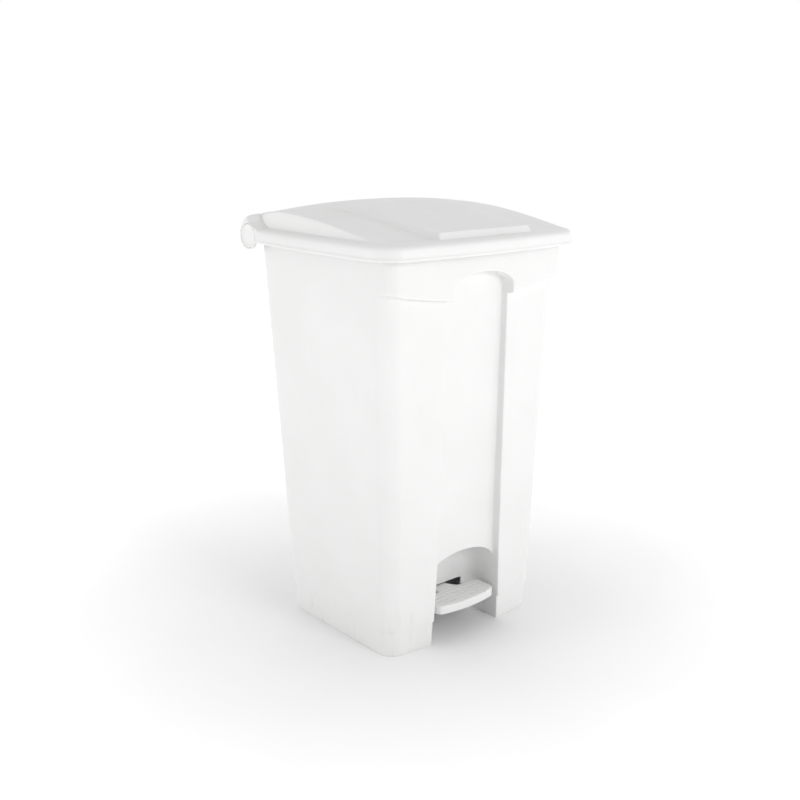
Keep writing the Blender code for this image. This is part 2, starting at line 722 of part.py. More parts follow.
def make_guides(grey):
    for name, level in GUIDE_LEVELS.items():
        half = REAR_CHANNEL_HALF - GAP
        outer = [(back_wall_y(z) + shift, z) for z, shift in
                 ((level - 0.010, -REAR_CHANNEL_DEPTH + GAP), (level - 0.010, 0.0),
                  (level + 0.010, 0.0), (level + 0.010, -REAR_CHANNEL_DEPTH + GAP))]
        guide = make_object(name, prism_x(outer, -half, half), grey)
        turns = [2 * math.pi * i / 16 for i in range(16)]
        bore = [[(0.0038 * math.cos(a), rod_y(z) + 0.0038 * math.sin(a), z) for a in turns]
                for z in (level - 0.03, level + 0.03)]
        cut(guide, skin(bore))
        for x in (-0.0175, 0.0175):
            cut(guide, leaning_tube(x, level, SCREW_HOLE, -0.014, 0.01))


def make_rear_cover(white, fastener):
    near = GAP
    far = GAP + COVER_THICK
    profile = [(back_wall_y(z) + shift, z) for z, shift in
               ((COVER_LOW, near), (COVER_LOW, far), (COVER_HIGH, far), (COVER_HIGH, near))]
    cover = make_object("rear_cover", prism_x(profile, -COVER_HALF, COVER_HALF), white)
    for number, (x, level) in enumerate(cover_screw_places(), 1):
        cut(cover, leaning_tube(x, level, SCREW_HOLE, -0.01, 0.02))
        shank = leaning_tube(x, level, SCREW_RADIUS, -0.0125, far + 0.0006)
        screw = make_object(f"cover_screw_{number}", shank, fastener)
        join(screw, leaning_tube(x, level, SCREW_HEAD, far + GAP, far + 0.0024))
    return cover


# ---------------------------------------------------------------- pedal mechanism

def make_lever(steel):
    under = [(-0.152, 0.0445), (-0.098, 0.0445), (-0.045, 0.049), (AXLE_Y, 0.0495), (0.030, 0.046),
             (0.125, 0.0370), (0.150, 0.0370)]
    over = [(0.151, 0.0505), (0.128, 0.0525), (0.030, 0.066), (AXLE_Y, 0.0705), (-0.045, 0.0675),
            (-0.085, 0.0575), (-0.152, 0.0575)]
    arm = under + over
    lever = make_object("pedal_lever", prism_x(arm, -ARM_OUT, -ARM_IN), steel)
    join(lever, box((-0.031, -0.153, 0.0567), (0.031, -0.100, TREAD_UNDER - GAP)))
    join(lever, prism_x(arm, ARM_IN, ARM_OUT))
    join(lever, box((-0.0140, 0.052, 0.0470), (0.0140, 0.062, 0.0570)))
    cut(lever, tube_x(AXLE_Y, AXLE_Z, AXLE_RADIUS + GAP, -0.05, 0.05, 20))
    cut(lever, tube_x(rod_y(LEVER_PIN_Z), LEVER_PIN_Z, LEVER_PIN_RADIUS + GAP, -0.05, 0.05, 16))
    for y in TREADLE_SCREW_YS.values():
        cut(lever, vertical_tube(0.0, y, 0.0024, 0.0, 0.062))
    return lever


def tread_outline():
    """Tread plate: convex front, round corners, waisted at the back into the neck."""
    corner = 0.012
    flat = TREAD_HALF - corner
    right = []
    for i in range(0, 5):
        x = flat * i / 4
        right.append((x, TREAD_FRONT - TREAD_BOW * (1 - (x / TREAD_HALF) ** 2)))
    for i in range(1, 6):
        angle = -math.pi / 2 + i * math.pi / 10
        x = flat + corner * math.cos(angle)
        bow = TREAD_BOW * (1 - (min(x, TREAD_HALF) / TREAD_HALF) ** 2)
        right.append((x, TREAD_FRONT + corner + corner * math.sin(angle) - bow))
    for i in range(5):
        angle = i * math.pi / 8
        right.append((flat + corner * math.cos(angle), TREAD_REAR - 0.010 + corner * 0.8 * math.sin(angle)))
    fillet = 0.014
    for i in range(5):
        angle = math.pi * 1.5 - i * math.pi / 8
        right.append((NECK_HALF + fillet + fillet * math.cos(angle),
                      TREAD_REAR + fillet + fillet * math.sin(angle)))
    right.append((NECK_HALF, NECK_END))
    left = [(-x, y) for x, y in reversed(right[1:])]
    return right + left


def make_treadle(white):
    treadle = make_object("pedal_treadle", prism_z(tread_outline(), TREAD_UNDER, TREAD_TOP), white)
    slope_end = NECK_END + 0.01
    slope = [(-0.112, TREAD_TOP + 0.01), (-0.112, TREAD_TOP - 0.001), (-0.085, 0.0690), (slope_end, 0.0675),
             (slope_end, TREAD_TOP + 0.01)]
    cut(treadle, prism_x(slope, -0.05, 0.05))
    for number in range(5):
        y = -0.1630 + number * 0.0085
        cut(treadle, box((-0.060, y, TREAD_TOP - 0.0012), (0.060, y + 0.0022, TREAD_TOP + 0.01)))
    for side in (-1, 1):
        low, high = sorted((side * 0.036, side * 0.0705))
        cut(treadle, box((low, -0.1620, 0.05), (high, -0.1200, TREAD_TOP - 0.0040)))
    for y in TREADLE_SCREW_YS.values():
        cut(treadle, vertical_tube(0.0, y, SCREW_HOLE, 0.05, 0.0705))
    return treadle


def make_screw_up(name, x, y, head_low, head_high, tip, steel):
    """A screw driven upwards, with its head below."""
    screw = make_object(name, vertical_tube(x, y, SCREW_RADIUS, head_low + 0.0005, tip), steel)
    join(screw, vertical_tube(x, y, SCREW_HEAD, head_low, head_high))


def bracket_screw_places():
    return [(side * 0.051, y) for side in (-1, 1) for y in (-0.030, -0.010)]


def make_axle_parts(steel, fastener, grey):
    make_object("pedal_axle", tube_x(AXLE_Y, AXLE_Z, AXLE_RADIUS, -0.0435, 0.0435, 20), steel)
    for name, side in (("left", -1), ("right", 1)):
        low, high = sorted((side * BRACKET_IN, side * BRACKET_OUT))
        foot = circle(AXLE_Y, AXLE_Z, 0.0115, 14, -math.pi, 0.0)
        web = foot + [(AXLE_Y + 0.016, FLOOR_UNDER - GAP), (AXLE_Y - 0.016, FLOOR_UNDER - GAP)]
        bracket = make_object(f"axle_bracket_{name}", prism_x(web, low, high), grey)
        low, high = sorted((side * BRACKET_IN, side * 0.060))
        plate_low = FLOOR_UNDER - 0.0043
        join(bracket, box((low, AXLE_Y - 0.018, plate_low), (high, AXLE_Y + 0.018, FLOOR_UNDER - GAP)))
        cut(bracket, tube_x(AXLE_Y, AXLE_Z, AXLE_RADIUS + GAP, -0.07, 0.07, 20))
        for y in (-0.030, -0.010):
            cut(bracket, vertical_tube(side * 0.051, y, SCREW_HOLE, 0.08, 0.12))
        low, high = sorted((side * (ARM_OUT + GAP), side * (BRACKET_IN - GAP)))
        spacer = make_object(f"axle_spacer_{name}", tube_x(AXLE_Y, AXLE_Z, 0.0070, low, high, 20), grey)
        cut(spacer, tube_x(AXLE_Y, AXLE_Z, AXLE_RADIUS + GAP, -0.07, 0.07, 20))
        low, high = sorted((side * (BRACKET_OUT + GAP), side * (BRACKET_OUT + 0.0017)))
        clip = make_object(f"axle_clip_{name}", tube_x(AXLE_Y, AXLE_Z, 0.0075, low, high, 20), fastener)
        cut(clip, tube_x(AXLE_Y, AXLE_Z, AXLE_RADIUS + GAP, -0.07, 0.07, 20))
    for number, (x, y) in enumerate(bracket_screw_places(), 1):
        make_screw_up(f"bracket_screw_{number}", x, y, FLOOR_UNDER - 0.0068, FLOOR_UNDER - 0.0046,
                      FLOOR_TOP - 0.0010, fastener)


def make_pedal_fasteners(steel, fastener):
    for name, y in TREADLE_SCREW_YS.items():
        make_screw_up(name, 0.0, y, 0.0541, 0.0564, 0.0700, fastener)
    pin_y = rod_y(LEVER_PIN_Z)
    pin = make_object("lever_pin", tube_x(pin_y, LEVER_PIN_Z, LEVER_PIN_RADIUS, -0.0205, 0.0195, 16), steel)
    join(pin, tube_x(pin_y, LEVER_PIN_Z, 0.0045, ARM_OUT + GAP, 0.0200, 16))
    clip = make_object("lever_pin_clip", tube_x(pin_y, LEVER_PIN_Z, 0.0052, -0.0192, -ARM_OUT - GAP, 16),
                       fastener)
    cut(clip, tube_x(pin_y, LEVER_PIN_Z, LEVER_PIN_RADIUS + GAP, -0.05, 0.0, 16))


def make_lid_fasteners(fastener, rubber):
    for name, x in LID_LEVER_SCREW_XS.items():
        make_screw_up(name, x, LID_LEVER_SCREW_Y, LEVER_PLATE_TOP - 0.0056, LEVER_PLATE_TOP - 0.0033,
                      LEVER_PLATE_TOP + 0.0085, fastener)
    for name, (x, y) in BUFFER_PLACES.items():
        make_object(name, vertical_tube(x, y, BUFFER_RADIUS, BODY_TOP + GAP, BUFFER_TOP, 18), rubber)


# ---------------------------------------------------------------- assembly

def cutters_of(obj):
    found = []
    for modifier in obj.modifiers:
        if modifier.type == "BOOLEAN":
            found += [modifier.object, *cutters_of(modifier.object)]
    return found


def hang(name, location, pieces):
    """Parents pieces and their helpers to an empty on their joint's axis. They stay where they are."""
    empty = bpy.data.objects.new(name, None)
    bpy.context.scene.collection.objects.link(empty)
    empty.location = location
    for piece in pieces:
        obj = bpy.data.objects[piece]
        for item in [obj, *cutters_of(obj)]:
            item.parent = empty
            item.matrix_parent_inverse = Matrix.Translation(location).inverted()


clear_scene()
WHITE = make_material("white_plastic", (0.88, 0.88, 0.87), 0.42)
GREY = make_material("grey_plastic", (0.35, 0.36, 0.37), 0.5)
STEEL = make_material("zinc_steel", (0.62, 0.63, 0.64), 0.35, 1.0)
FASTENER = make_material("fastener_steel", (0.66, 0.65, 0.62), 0.30, 1.0)
RUBBER = make_material("black_rubber", (0.05, 0.05, 0.05), 0.8)

make_body(WHITE)
make_lid(WHITE)
make_hinge(STEEL, WHITE, GREY)
make_lid_lever(STEEL)
make_lid_fasteners(FASTENER, RUBBER)
make_push_rod(STEEL)
make_guides(GREY)
make_rear_cover(WHITE, FASTENER)
make_lever(STEEL)
make_treadle(WHITE)
make_axle_parts(STEEL, FASTENER, GREY)
make_pedal_fasteners(STEEL, FASTENER)
MIDDLE = bpy.data.objects.new("bin_centre", None)
bpy.context.scene.collection.objects.link(MIDDLE)
MIDDLE.location = (0.0, CENTRE_Y, 0.0)
hang("lid_axis", (0.0, HINGE_Y, HINGE_Z), (
    "lid_shell", "hinge_cap_left", "hinge_cap_right", "hinge_bush_left", "hinge_bush_right", "lid_lever",
    *LID_LEVER_SCREW_XS, *BUFFER_PLACES))
hang("pedal_axis", (0.0, AXLE_Y, AXLE_Z), (
    "pedal_lever", "pedal_treadle", *TREADLE_SCREW_YS, "lever_pin", "lever_pin_clip"))
hang("rod_axis", (0.0, rod_y(LEVER_PIN_Z), LEVER_PIN_Z), ("push_rod", "rod_top_pin"))
for item in bpy.data.objects:
    if item.parent is None and item != MIDDLE:
        item.parent = MIDDLE
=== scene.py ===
"""Looks of the foot-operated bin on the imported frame: fine shells, a fine tread plate, and all materials.

Metres, +Z up, the pedal faces -Y. The fine shells repeat the driving dimensions of the solids that
they stand for.
"""

import json
import math

import bmesh
import bpy
from mathutils import Matrix, Vector


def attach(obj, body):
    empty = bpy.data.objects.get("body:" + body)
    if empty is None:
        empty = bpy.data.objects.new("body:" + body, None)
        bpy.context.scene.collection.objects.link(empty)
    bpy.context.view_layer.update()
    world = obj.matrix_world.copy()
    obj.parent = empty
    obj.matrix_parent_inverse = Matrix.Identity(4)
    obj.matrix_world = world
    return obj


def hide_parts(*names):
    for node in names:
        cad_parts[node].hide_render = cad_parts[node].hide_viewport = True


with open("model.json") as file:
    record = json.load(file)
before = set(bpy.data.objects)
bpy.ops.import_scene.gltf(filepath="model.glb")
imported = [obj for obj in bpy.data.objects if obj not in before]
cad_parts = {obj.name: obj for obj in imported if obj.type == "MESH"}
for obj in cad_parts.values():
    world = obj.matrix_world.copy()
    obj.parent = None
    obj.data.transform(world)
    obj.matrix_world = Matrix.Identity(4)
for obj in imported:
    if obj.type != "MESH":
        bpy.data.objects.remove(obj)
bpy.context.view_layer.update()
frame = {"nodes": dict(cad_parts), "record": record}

# The shells are modelled from the middle of the body, and moved to the middle of the bin's box
CENTRE_Y = -0.00325

# Body
BAND_TOP = 0.0495
BODY_BASE = 0.0505
RIM_LEVEL = 0.7445
BODY_TOP = 0.757
BACK_WALL_TOP = 0.724
WALL = 0.0035
FLOOR_UNDER = 0.100
FLOOR_TOP = 0.1035
GAP = 0.0003
BEYOND = 0.30
FLANGE = 0.010
FLANGE_LOW = 0.7525
FOOT = {"half": 0.188, "front": -0.1522, "bow": 0.0095, "back": 0.153,
        "r_front": 0.0287, "r_back": 0.0214}
BAND = {"half": 0.1892, "front": -0.1535, "bow": 0.0095, "back": 0.1543,
        "r_front": 0.0287, "r_back": 0.0214}
BASE = {"half": 0.1906, "front": -0.157, "bow": 0.0095, "back": 0.157,
        "r_front": 0.0287, "r_back": 0.0216}
RIM = {"half": 0.217, "front": -0.1715, "bow": 0.0062, "back": 0.193,
       "r_front": 0.038, "r_back": 0.012}
COLLAR = {"front": -0.183, "bow": 0.0085, "r_front": 0.022}
LEDGE_MIDDLE = 0.6600
LEDGE_RISE = 0.022
LEDGE_REACH = 0.2
LEDGE_LIMIT = 1.18
LEDGE_HEIGHT = 0.006
# Between these levels the rows of the shell bend to the collar's curved edge
BEND_LOW = 0.58
BEND_HIGH = 0.738
BODY_START = 0.0516
# Collar edge, as (share of the way from body to collar, height)
LEDGE_STEPS = ((0.0, 0.0), (0.40, 0.0004), (0.75, 0.0010), (0.92, 0.0022), (0.98, 0.0038), (1.0, 0.0058))

# Front channel and pedal niche; the channel's side is given as (half width, height)
CHANNEL_SIDE = ((0.088, 0.0), (0.0815, 0.157), (0.0748, 0.66), (0.0748, 0.80))
CHANNEL_SPRING = 0.683
CHANNEL_HALF = 0.0748
CHANNEL_RISE = 0.0275
CHANNEL_EDGE = 0.0020
CHANNEL_FILLET = 0.0025
CHANNEL_FLOOR_Y = -0.1485
CHANNEL_FLOOR_Z = 0.15
CHANNEL_LEAN = 0.0135
CHANNEL_SPAN = 0.55
NICHE_HALF = 0.0825
NICHE_SPRING = 0.132
NICHE_RISE = 0.035
NICHE_BACK = -0.080
NICHE_CORNER = 0.034
NICHE_EDGE = 0.0016
NICHE_STEP = 0.000002
SLOT_HALF = 0.0628
SLOT_TOP = 0.0715

# Hinge
HINGE_Y = 0.1955
HINGE_Z = 0.7562
ROD_BORE = 0.0043
BUSH_BORE = 0.0075
KNUCKLE_SPAN = (0.095, 0.145)
KNUCKLE_RADIUS = 0.012
KNUCKLE_FOOT = 0.700
BARREL_RADIUS = 0.0255
BARREL_END = 0.2445
BARREL_INNER_END = 0.148
EAR_INNER = 0.2385
BEARING_END = 0.178
CAP_RADIUS = 0.0225
CAP_DEPTH = 0.0025
CORNER_TOP = 0.741
CORNER_INNER = 0.182

# Lid
LID = {"half": 0.2445, "front": -0.2043, "bow": 0.0167, "back": 0.190, "r_front": 0.051, "r_back": 0.008}
LID_SIDE_BOW = 0.0078
LEDGE_TOP = 0.7705
# Ledge from its rounded outer edge inwards, as (inset from the skirt, height above the rim)
LEDGE_PROFILE = ((0.0022, 0.0165), (0.0027, 0.0192), (0.0035, 0.0213), (0.0048, 0.0232), (0.0066, 0.0247),
                 (0.0090, 0.0260), (0.0122, 0.0272), (0.0165, 0.0281))
# The ledge's sweep up to the hinge fades out towards the dome
LIFT_END = 0.01575
LIFT_FADE = 0.0045
LID_THICK = 0.003
DOME_LOW = 0.7740
DOME_RISE = 0.0320
DOME_CROWN = 0.0131
DOME_PEAK_Y = 0.110
DOME_FRONT_Y = -0.165
DOME_BACK_Y = 0.184
DOME_BACK_RADIUS = 0.005
DOME_HALF = 0.2215
DOME_POWER = 2.2
DOME_FALL = 0.010
DOME_FALL_REACH = 0.07
DOME_FOOT = 0.0235
DOME_TOP_INSET = 0.0280
PANEL_TOP_FRONT = -0.184
PANEL_BACK = 0.075
PANEL_HALF_FRONT = 0.111
PANEL_HALF_BACK = 0.160
PANEL_STEP = 0.012

# Hood over the hinge
HOOD_START_Y = 0.160
HOOD_CREST = (0.1812, 0.7950)
HOOD_CLIMB = 0.4
HOOD_VALLEY = (0.2222, 0.2442)
HOOD_WALL = 0.0035
HOOD_BACK = 0.0320
HOOD_TURN = math.radians(60)
HOOD_FULL = 0.232
HOOD_EDGE = 0.2445
# The hood's sections, close together where its end rounds over
HOOD_COLUMNS = (0.2445, 0.24445, 0.2443, 0.2440, 0.2436, 0.2430, 0.2421, 0.2410, 0.2397, 0.2382,
                0.2365, 0.2345, 0.2320, 0.2290, 0.2260, 0.2230, 0.2200, 0.2170, 0.2140, 0.2110,
                0.2060, 0.185, 0.160, 0.130, 0.100, 0.070, 0.035, 0.0)
HOOD_JOIN_X = 0.206
HOOD_TOP = 0.796
HOOD_UNDER_STEPS = 8
# Ears, where the lid's ledge sweeps up to the ends of the barrel
EAR_START_Y = 0.150
EAR_REACH = 0.0455
EAR_LIFT = 0.0112
EAR_RADIUS = BARREL_RADIUS - 0.0004
EAR_JOIN = math.radians(115)
LEVER_SEAT = LEDGE_TOP - 0.004
LEVER_SEAT_HEIGHT = 0.0135

# Rear channel
REAR_CHANNEL_HALF = 0.0250
REAR_CHANNEL_DEPTH = 0.0240
REAR_SLOPE = (RIM["back"] - BASE["back"]) / (RIM_LEVEL - BODY_BASE)

# Tread plate
TREAD_HALF = 0.0745
TREAD_TOP = 0.0750
TREAD_UNDER = 0.0620
TREAD_LIP = 0.0580
TREAD_FRONT = -0.1640
TREAD_BOW = 0.0095
TREAD_REAR = -0.1150
TREAD_CORNER = 0.012
TREAD_REAR_CORNER = 0.0096
GROOVES = 5
GROOVE_FRONT = -0.1680
GROOVE_STEP = 0.0120
GROOVE_DEPTH = 0.0026
GROOVE_REACH = 0.0635
GROOVE_FIRST_REACH = 0.0450
GROOVE_HALF_TOP = 0.0024
GROOVE_HALF_LOW = 0.0016
NECK_HALF = 0.0215
NECK_FILLET = 0.014
NECK_END = -0.070


# -------- mesh helpers

WELD = 2e-6
SLIVER = 1e-7
SEAM_WELD = 4e-6
SMOOTH_ANGLE = math.radians(32)


def blend(low, high, share):
    return low + (high - low) * share


def between(low, high, share):
    return {key: blend(low[key], high[key], share) for key in low}


def smooth_step(value):
    value = max(0.0, min(1.0, value))
    return value * value * (3 - 2 * value)


def bezier(a, b, c, d, t):
    s = 1 - t
    weights = (s ** 3, 3 * s * s * t, 3 * s * t * t, t ** 3)
    return tuple(sum(w * p[k] for w, p in zip(weights, (a, b, c, d))) for k in range(len(a)))


def finished(shape):
    """A mesh from a bmesh, with its faces turned out and its soft edges smooth."""
    bmesh.ops.remove_doubles(shape, verts=shape.verts, dist=WELD)
    bmesh.ops.dissolve_degenerate(shape, edges=shape.edges, dist=SLIVER)
    bmesh.ops.recalc_face_normals(shape, faces=shape.faces)
    mesh = bpy.data.meshes.new("shape")
    shape.to_mesh(mesh)
    shape.free()
    mesh.shade_smooth()
    mesh.set_sharp_from_angle(angle=SMOOTH_ANGLE)
    return mesh


def skin(rings):
    """A closed mesh through rings of equal length, with a face at each end."""
    shape = bmesh.new()
    rows = [[shape.verts.new(point) for point in ring] for ring in rings]
    count = len(rings[0])
    for low, high in zip(rows, rows[1:]):
        for i in range(count):
            j = (i + 1) % count
            shape.faces.new((low[i], low[j], high[j], high[i]))
    shape.faces.new(list(reversed(rows[0])))
    shape.faces.new(rows[-1])
    return finished(shape)


def prism_x(outline, low, high):
    return skin([[(x, y, z) for y, z in outline] for x in (low, high)])


def prism_z(outline, low, high):
    return skin([[(x, y, z) for x, y in outline] for z in (low, high)])


def box(low, high):
    corners = ((low[0], low[1]), (high[0], low[1]), (high[0], high[1]), (low[0], high[1]))
    return prism_z(corners, low[2], high[2])


def arc(cy, cz, radius, steps, start=0.0, end=2 * math.pi):
    whole = abs(end - start - 2 * math.pi) < 1e-6
    turns = [start + (end - start) * i / steps for i in range(steps + (0 if whole else 1))]
    return [(cy + radius * math.cos(a), cz + radius * math.sin(a)) for a in turns]


def turned_x(profile, cy, cz, steps=48):
    """A round along X from (x, radius) points."""
    return skin([[(x, y, z) for y, z in arc(cy, cz, radius, steps)] for x, radius in profile])


def placed(name, data):
    """A new object in the scene."""
    obj = bpy.data.objects.new(name, data)
    bpy.context.scene.collection.objects.link(obj)
    return obj


def piece(name, mesh, material, body=None, node=None):
    """A visible piece. One that rides on a body is moved to the middle of the bin's box."""
    if body:
        mesh.transform(Matrix.Translation((0.0, CENTRE_Y, 0.0)))
    obj = placed(name, mesh)
    mesh.materials.clear()
    mesh.materials.append(material)
    if body:
        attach(obj, body)
    if node:
        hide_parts(node)
    return obj


def carved(mesh, joined=(), removed=()):
    """The mesh with shapes joined to it and then shapes removed from it."""
    helpers = []
    base = placed("carving", mesh)
    for operation, shapes in (("UNION", joined), ("DIFFERENCE", removed)):
        for shape in shapes:
            helper = placed("carver", shape)
            modifier = base.modifiers.new("carve", "BOOLEAN")
            modifier.operation = operation
            modifier.solver = "EXACT"
            modifier.object = helper
            helpers.append(helper)
    graph = bpy.context.evaluated_depsgraph_get()
    result = bpy.data.meshes.new_from_object(base.evaluated_get(graph))
    for helper in [base, *helpers]:
        bpy.data.objects.remove(helper, do_unlink=True)
    result.shade_smooth()
    result.set_sharp_from_angle(angle=SMOOTH_ANGLE)
    return result


# -------- outlines

FRONT_COLUMNS = 16
CORNER_COLUMNS = 12
SIDE_COLUMNS = 12
BACK_CORNER_COLUMNS = 6
BACK_COLUMNS = 8


def half_outline(section, inset=0.0, start=0.0, side_bow=0.0):
    """Right half of a rounded rectangle with a bowed front, from x = start to the middle of the back."""
    half = section["half"] - inset
    front = section["front"] + inset
    back = section["back"] - inset
    r_front = max(section["r_front"] - inset, 0.004)
    r_back = max(section["r_back"] - inset, 0.003)
    flat = half - r_front
    side_low = front + r_front
    side_high = back - r_back
    points = []
    for i in range(FRONT_COLUMNS):
        points.append((blend(start, flat, i / FRONT_COLUMNS), front))
    for i in range(CORNER_COLUMNS + 1):
        angle = -math.pi / 2 + i * math.pi / 2 / CORNER_COLUMNS
        points.append((flat + r_front * math.cos(angle), side_low + r_front * math.sin(angle)))
    points = [(x, y - section["bow"] * (1 - (x / half) ** 2)) for x, y in points]
    for i in range(1, SIDE_COLUMNS):
        points.append((half, blend(side_low, side_high, i / SIDE_COLUMNS)))
    for i in range(BACK_CORNER_COLUMNS + 1):
        angle = i * math.pi / 2 / BACK_CORNER_COLUMNS
        points.append((half - r_back + r_back * math.cos(angle), side_high + r_back * math.sin(angle)))
    for i in range(1, BACK_COLUMNS + 1):
        points.append(((half - r_back) * (1 - i / BACK_COLUMNS), back))
    if not side_bow:
        return points
    middle = (LID["front"] + LID["back"]) / 2
    reach = (LID["back"] - LID["front"]) / 2
    return [(x + side_bow * max(0.0, 1 - ((y - middle) / reach) ** 2) * min(1.0, x / (half * 0.8)), y)
            for x, y in points]


def mirrored_loop(half):
    """A closed loop from its right half, whose first and last points lie on x = 0."""
    return half + [(-point[0], *point[1:]) for point in reversed(half[1:-1])]


# -------- body shell

def body_section(z):
    return between(BASE, RIM, (z - BODY_BASE) / (RIM_LEVEL - BODY_BASE))


def shell_section(z, band, mix):
    """Outline of the body at a height; mix goes from the body to its proud collar."""
    if band:
        return between(FOOT, BAND, z / BAND_TOP)
    section = body_section(max(z, BODY_BASE))
    for key, value in COLLAR.items():
        section[key] = blend(section[key], value, mix)
    return section


def back_wall_y(z):
    return BASE["back"] + REAR_SLOPE * (z - BODY_BASE)


def channel_half(z):
    for (x0, z0), (x1, z1) in zip(CHANNEL_SIDE, CHANNEL_SIDE[1:]):
        if z <= z1:
            return blend(x0, x1, (z - z0) / (z1 - z0))
    return CHANNEL_SIDE[-1][0]


def channel_floor(z):
    """Depth of the channel's floor, which leans forward towards the top."""
    return CHANNEL_FLOOR_Y - CHANNEL_LEAN * (z - CHANNEL_FLOOR_Z) / CHANNEL_SPAN


def arch_point(half, spring, rise, angle):
    """Point of an arch and its outward direction, as (x, z, dx, dz)."""
    length = math.hypot(rise * math.cos(angle), half * math.sin(angle))
    return (half * math.cos(angle), spring + rise * math.sin(angle),
            rise * math.cos(angle) / length, half * math.sin(angle) / length)


def ledge_share(x, start):
    """Share of the collar edge's rise at x, from none at start."""
    return max(0.0, (x * x - start * start) / (LEDGE_REACH ** 2 - start * start))


def shell_columns(row, start, level):
    """The body's own columns of a row, from x = start on the front round to the middle of the back."""
    rise = row["rise"]

    def at(z):
        return half_outline(shell_section(z, row["band"], row["mix"]), row["inset"], start)

    plain = at(level)
    if rise == 0.0:
        return [(x, y, level) for x, y in plain]
    points = []
    for i, (x, _) in enumerate(plain):
        z = level + rise * min(ledge_share(x, start), LEDGE_LIMIT)
        px, py = at(z)[i]
        points.append((px, py, z))
    return points


def edge_depth(row, x, level):
    """Depth of the body's front at the channel's edge."""
    section = shell_section(level, row["band"], row["mix"])
    half = section["half"] - row["inset"]
    return section["front"] + row["inset"] - section["bow"] * (1 - (x / half) ** 2)


def channel_columns(row, edge, begin, level):
    """Channel floor, fillet, wall and rounded edge of a row, from begin = (x, y, z) on the floor."""
    cx, cz, dx, dz = edge
    floor = channel_floor(cz)
    front = edge_depth(row, cx + CHANNEL_EDGE * dx, level)
    fillet = min(CHANNEL_FILLET, 0.45 * (cx - begin[0])) if dz == 0.0 else CHANNEL_FILLET
    inner = (max(cx - fillet * dx, 0.0), floor, cz - fillet * dz)
    points = [tuple(blend(low, high, i / 6) for low, high in zip(begin, inner)) for i in range(6)]
    for i in range(5):
        angle = i * math.pi / 8
        out = -fillet + fillet * math.sin(angle)
        points.append((max(cx + out * dx, 0.0), floor - fillet + fillet * math.cos(angle), cz + out * dz))
    wall_back = floor - fillet
    wall_front = front + CHANNEL_EDGE
    for i in range(1, 4):
        points.append((cx, blend(wall_back, wall_front, i / 4), cz))
    for i in range(6):
        angle = i * math.pi / 10
        out = CHANNEL_EDGE * (1 - math.cos(angle))
        points.append((cx + out * dx, front + CHANNEL_EDGE * (1 - math.sin(angle)), cz + out * dz))
    return points


def niche_columns(edge, shrink, edge_radius):
    """Niche wall of a row, from the middle of its back to its rounded edge on the channel floor."""
    cx, cz, dx, dz = edge
    start_side = NICHE_BACK - NICHE_CORNER
    back = start_side + NICHE_CORNER * shrink
    floor = channel_floor(cz)
    flat = max(cx, NICHE_HALF * shrink) - NICHE_CORNER * shrink
    points = [(flat * i / 8, back, cz) for i in range(8)]
    for i in range(11):
        angle = math.pi / 2 - i * math.pi / 20
        depth = start_side + (back - start_side) * math.sin(angle)
        points.append((flat + (cx - flat) * math.cos(angle), depth, cz))
    for i in range(1, 4):
        points.append((cx, blend(start_side, floor + edge_radius, i / 4), cz))
    for i in range(6):
        angle = i * math.pi / 10
        out = edge_radius * (1 - math.cos(angle))
        points.append((cx + out * dx, floor + edge_radius * (1 - math.sin(angle)), cz + out * dz))
    return points


def shell_rows():
    """Rows of the outer shell from the foot to the rim. Each says what it cuts through."""
    ledge_in = LEDGE_MIDDLE + LEDGE_RISE * (CHANNEL_HALF / LEDGE_REACH) ** 2
    full_rise = LEDGE_MIDDLE + LEDGE_RISE - ledge_in
    rows = []

    def add(level, mix=0.0, inset=0.0, band=False, niche=None, arch=None):
        rising = (level - BEND_LOW) / (ledge_in - BEND_LOW)
        falling = (BEND_HIGH - level) / (BEND_HIGH - ledge_in - LEDGE_HEIGHT)
        rise = full_rise * max(0.0, min(1.0, rising, falling))
        rows.append({"level": level, "mix": mix, "inset": inset, "band": band, "rise": rise,
                     "niche": niche, "arch": arch})

    for level, inset in ((0.0, 0.0010), (0.0004, 0.0003), (0.0012, 0.0), (0.0130, 0.0), (0.0370, 0.0),
                         (0.0488, 0.0)):
        add(level, inset=inset, band=True, niche=0.0)
    for level, inset in ((0.0497, 0.0018), (0.0499, 0.0009), (BODY_BASE, 0.0002), (BODY_START, 0.0)):
        add(level, inset=inset, niche=0.0)
    for i in range(1, 7):
        add(blend(BODY_START, NICHE_SPRING, i / 7), niche=0.0)
    for i in range(15):
        angle = i * math.pi / 28
        add(NICHE_SPRING + NICHE_RISE * math.sin(angle) + NICHE_EDGE * math.sin(angle), niche=angle)
    for i in range(1, 11):
        add(blend(NICHE_SPRING + NICHE_RISE + NICHE_EDGE, BEND_LOW, i / 10))
    for i in range(1, 6):
        add(blend(BEND_LOW, ledge_in - 0.0015, i / 5))
    for mix, lift in LEDGE_STEPS:
        add(ledge_in + lift, mix=mix)
    add(CHANNEL_SPRING - 0.007, mix=1.0)
    for i in range(19):
        angle = i * math.pi / 36
        add(CHANNEL_SPRING + CHANNEL_RISE * math.sin(angle), mix=1.0, arch=angle)
    for level in (0.718, 0.725, 0.732, 0.739, 0.746, FLANGE_LOW):
        add(level, mix=1.0, arch="above")
    for level, inset in ((FLANGE_LOW + 0.0004, -0.009), (FLANGE_LOW + 0.0009, -FLANGE),
                         (BODY_TOP - 0.0006, -FLANGE), (BODY_TOP, -0.0094)):
        add(level, mix=1.0, inset=inset, arch="above")
    return rows


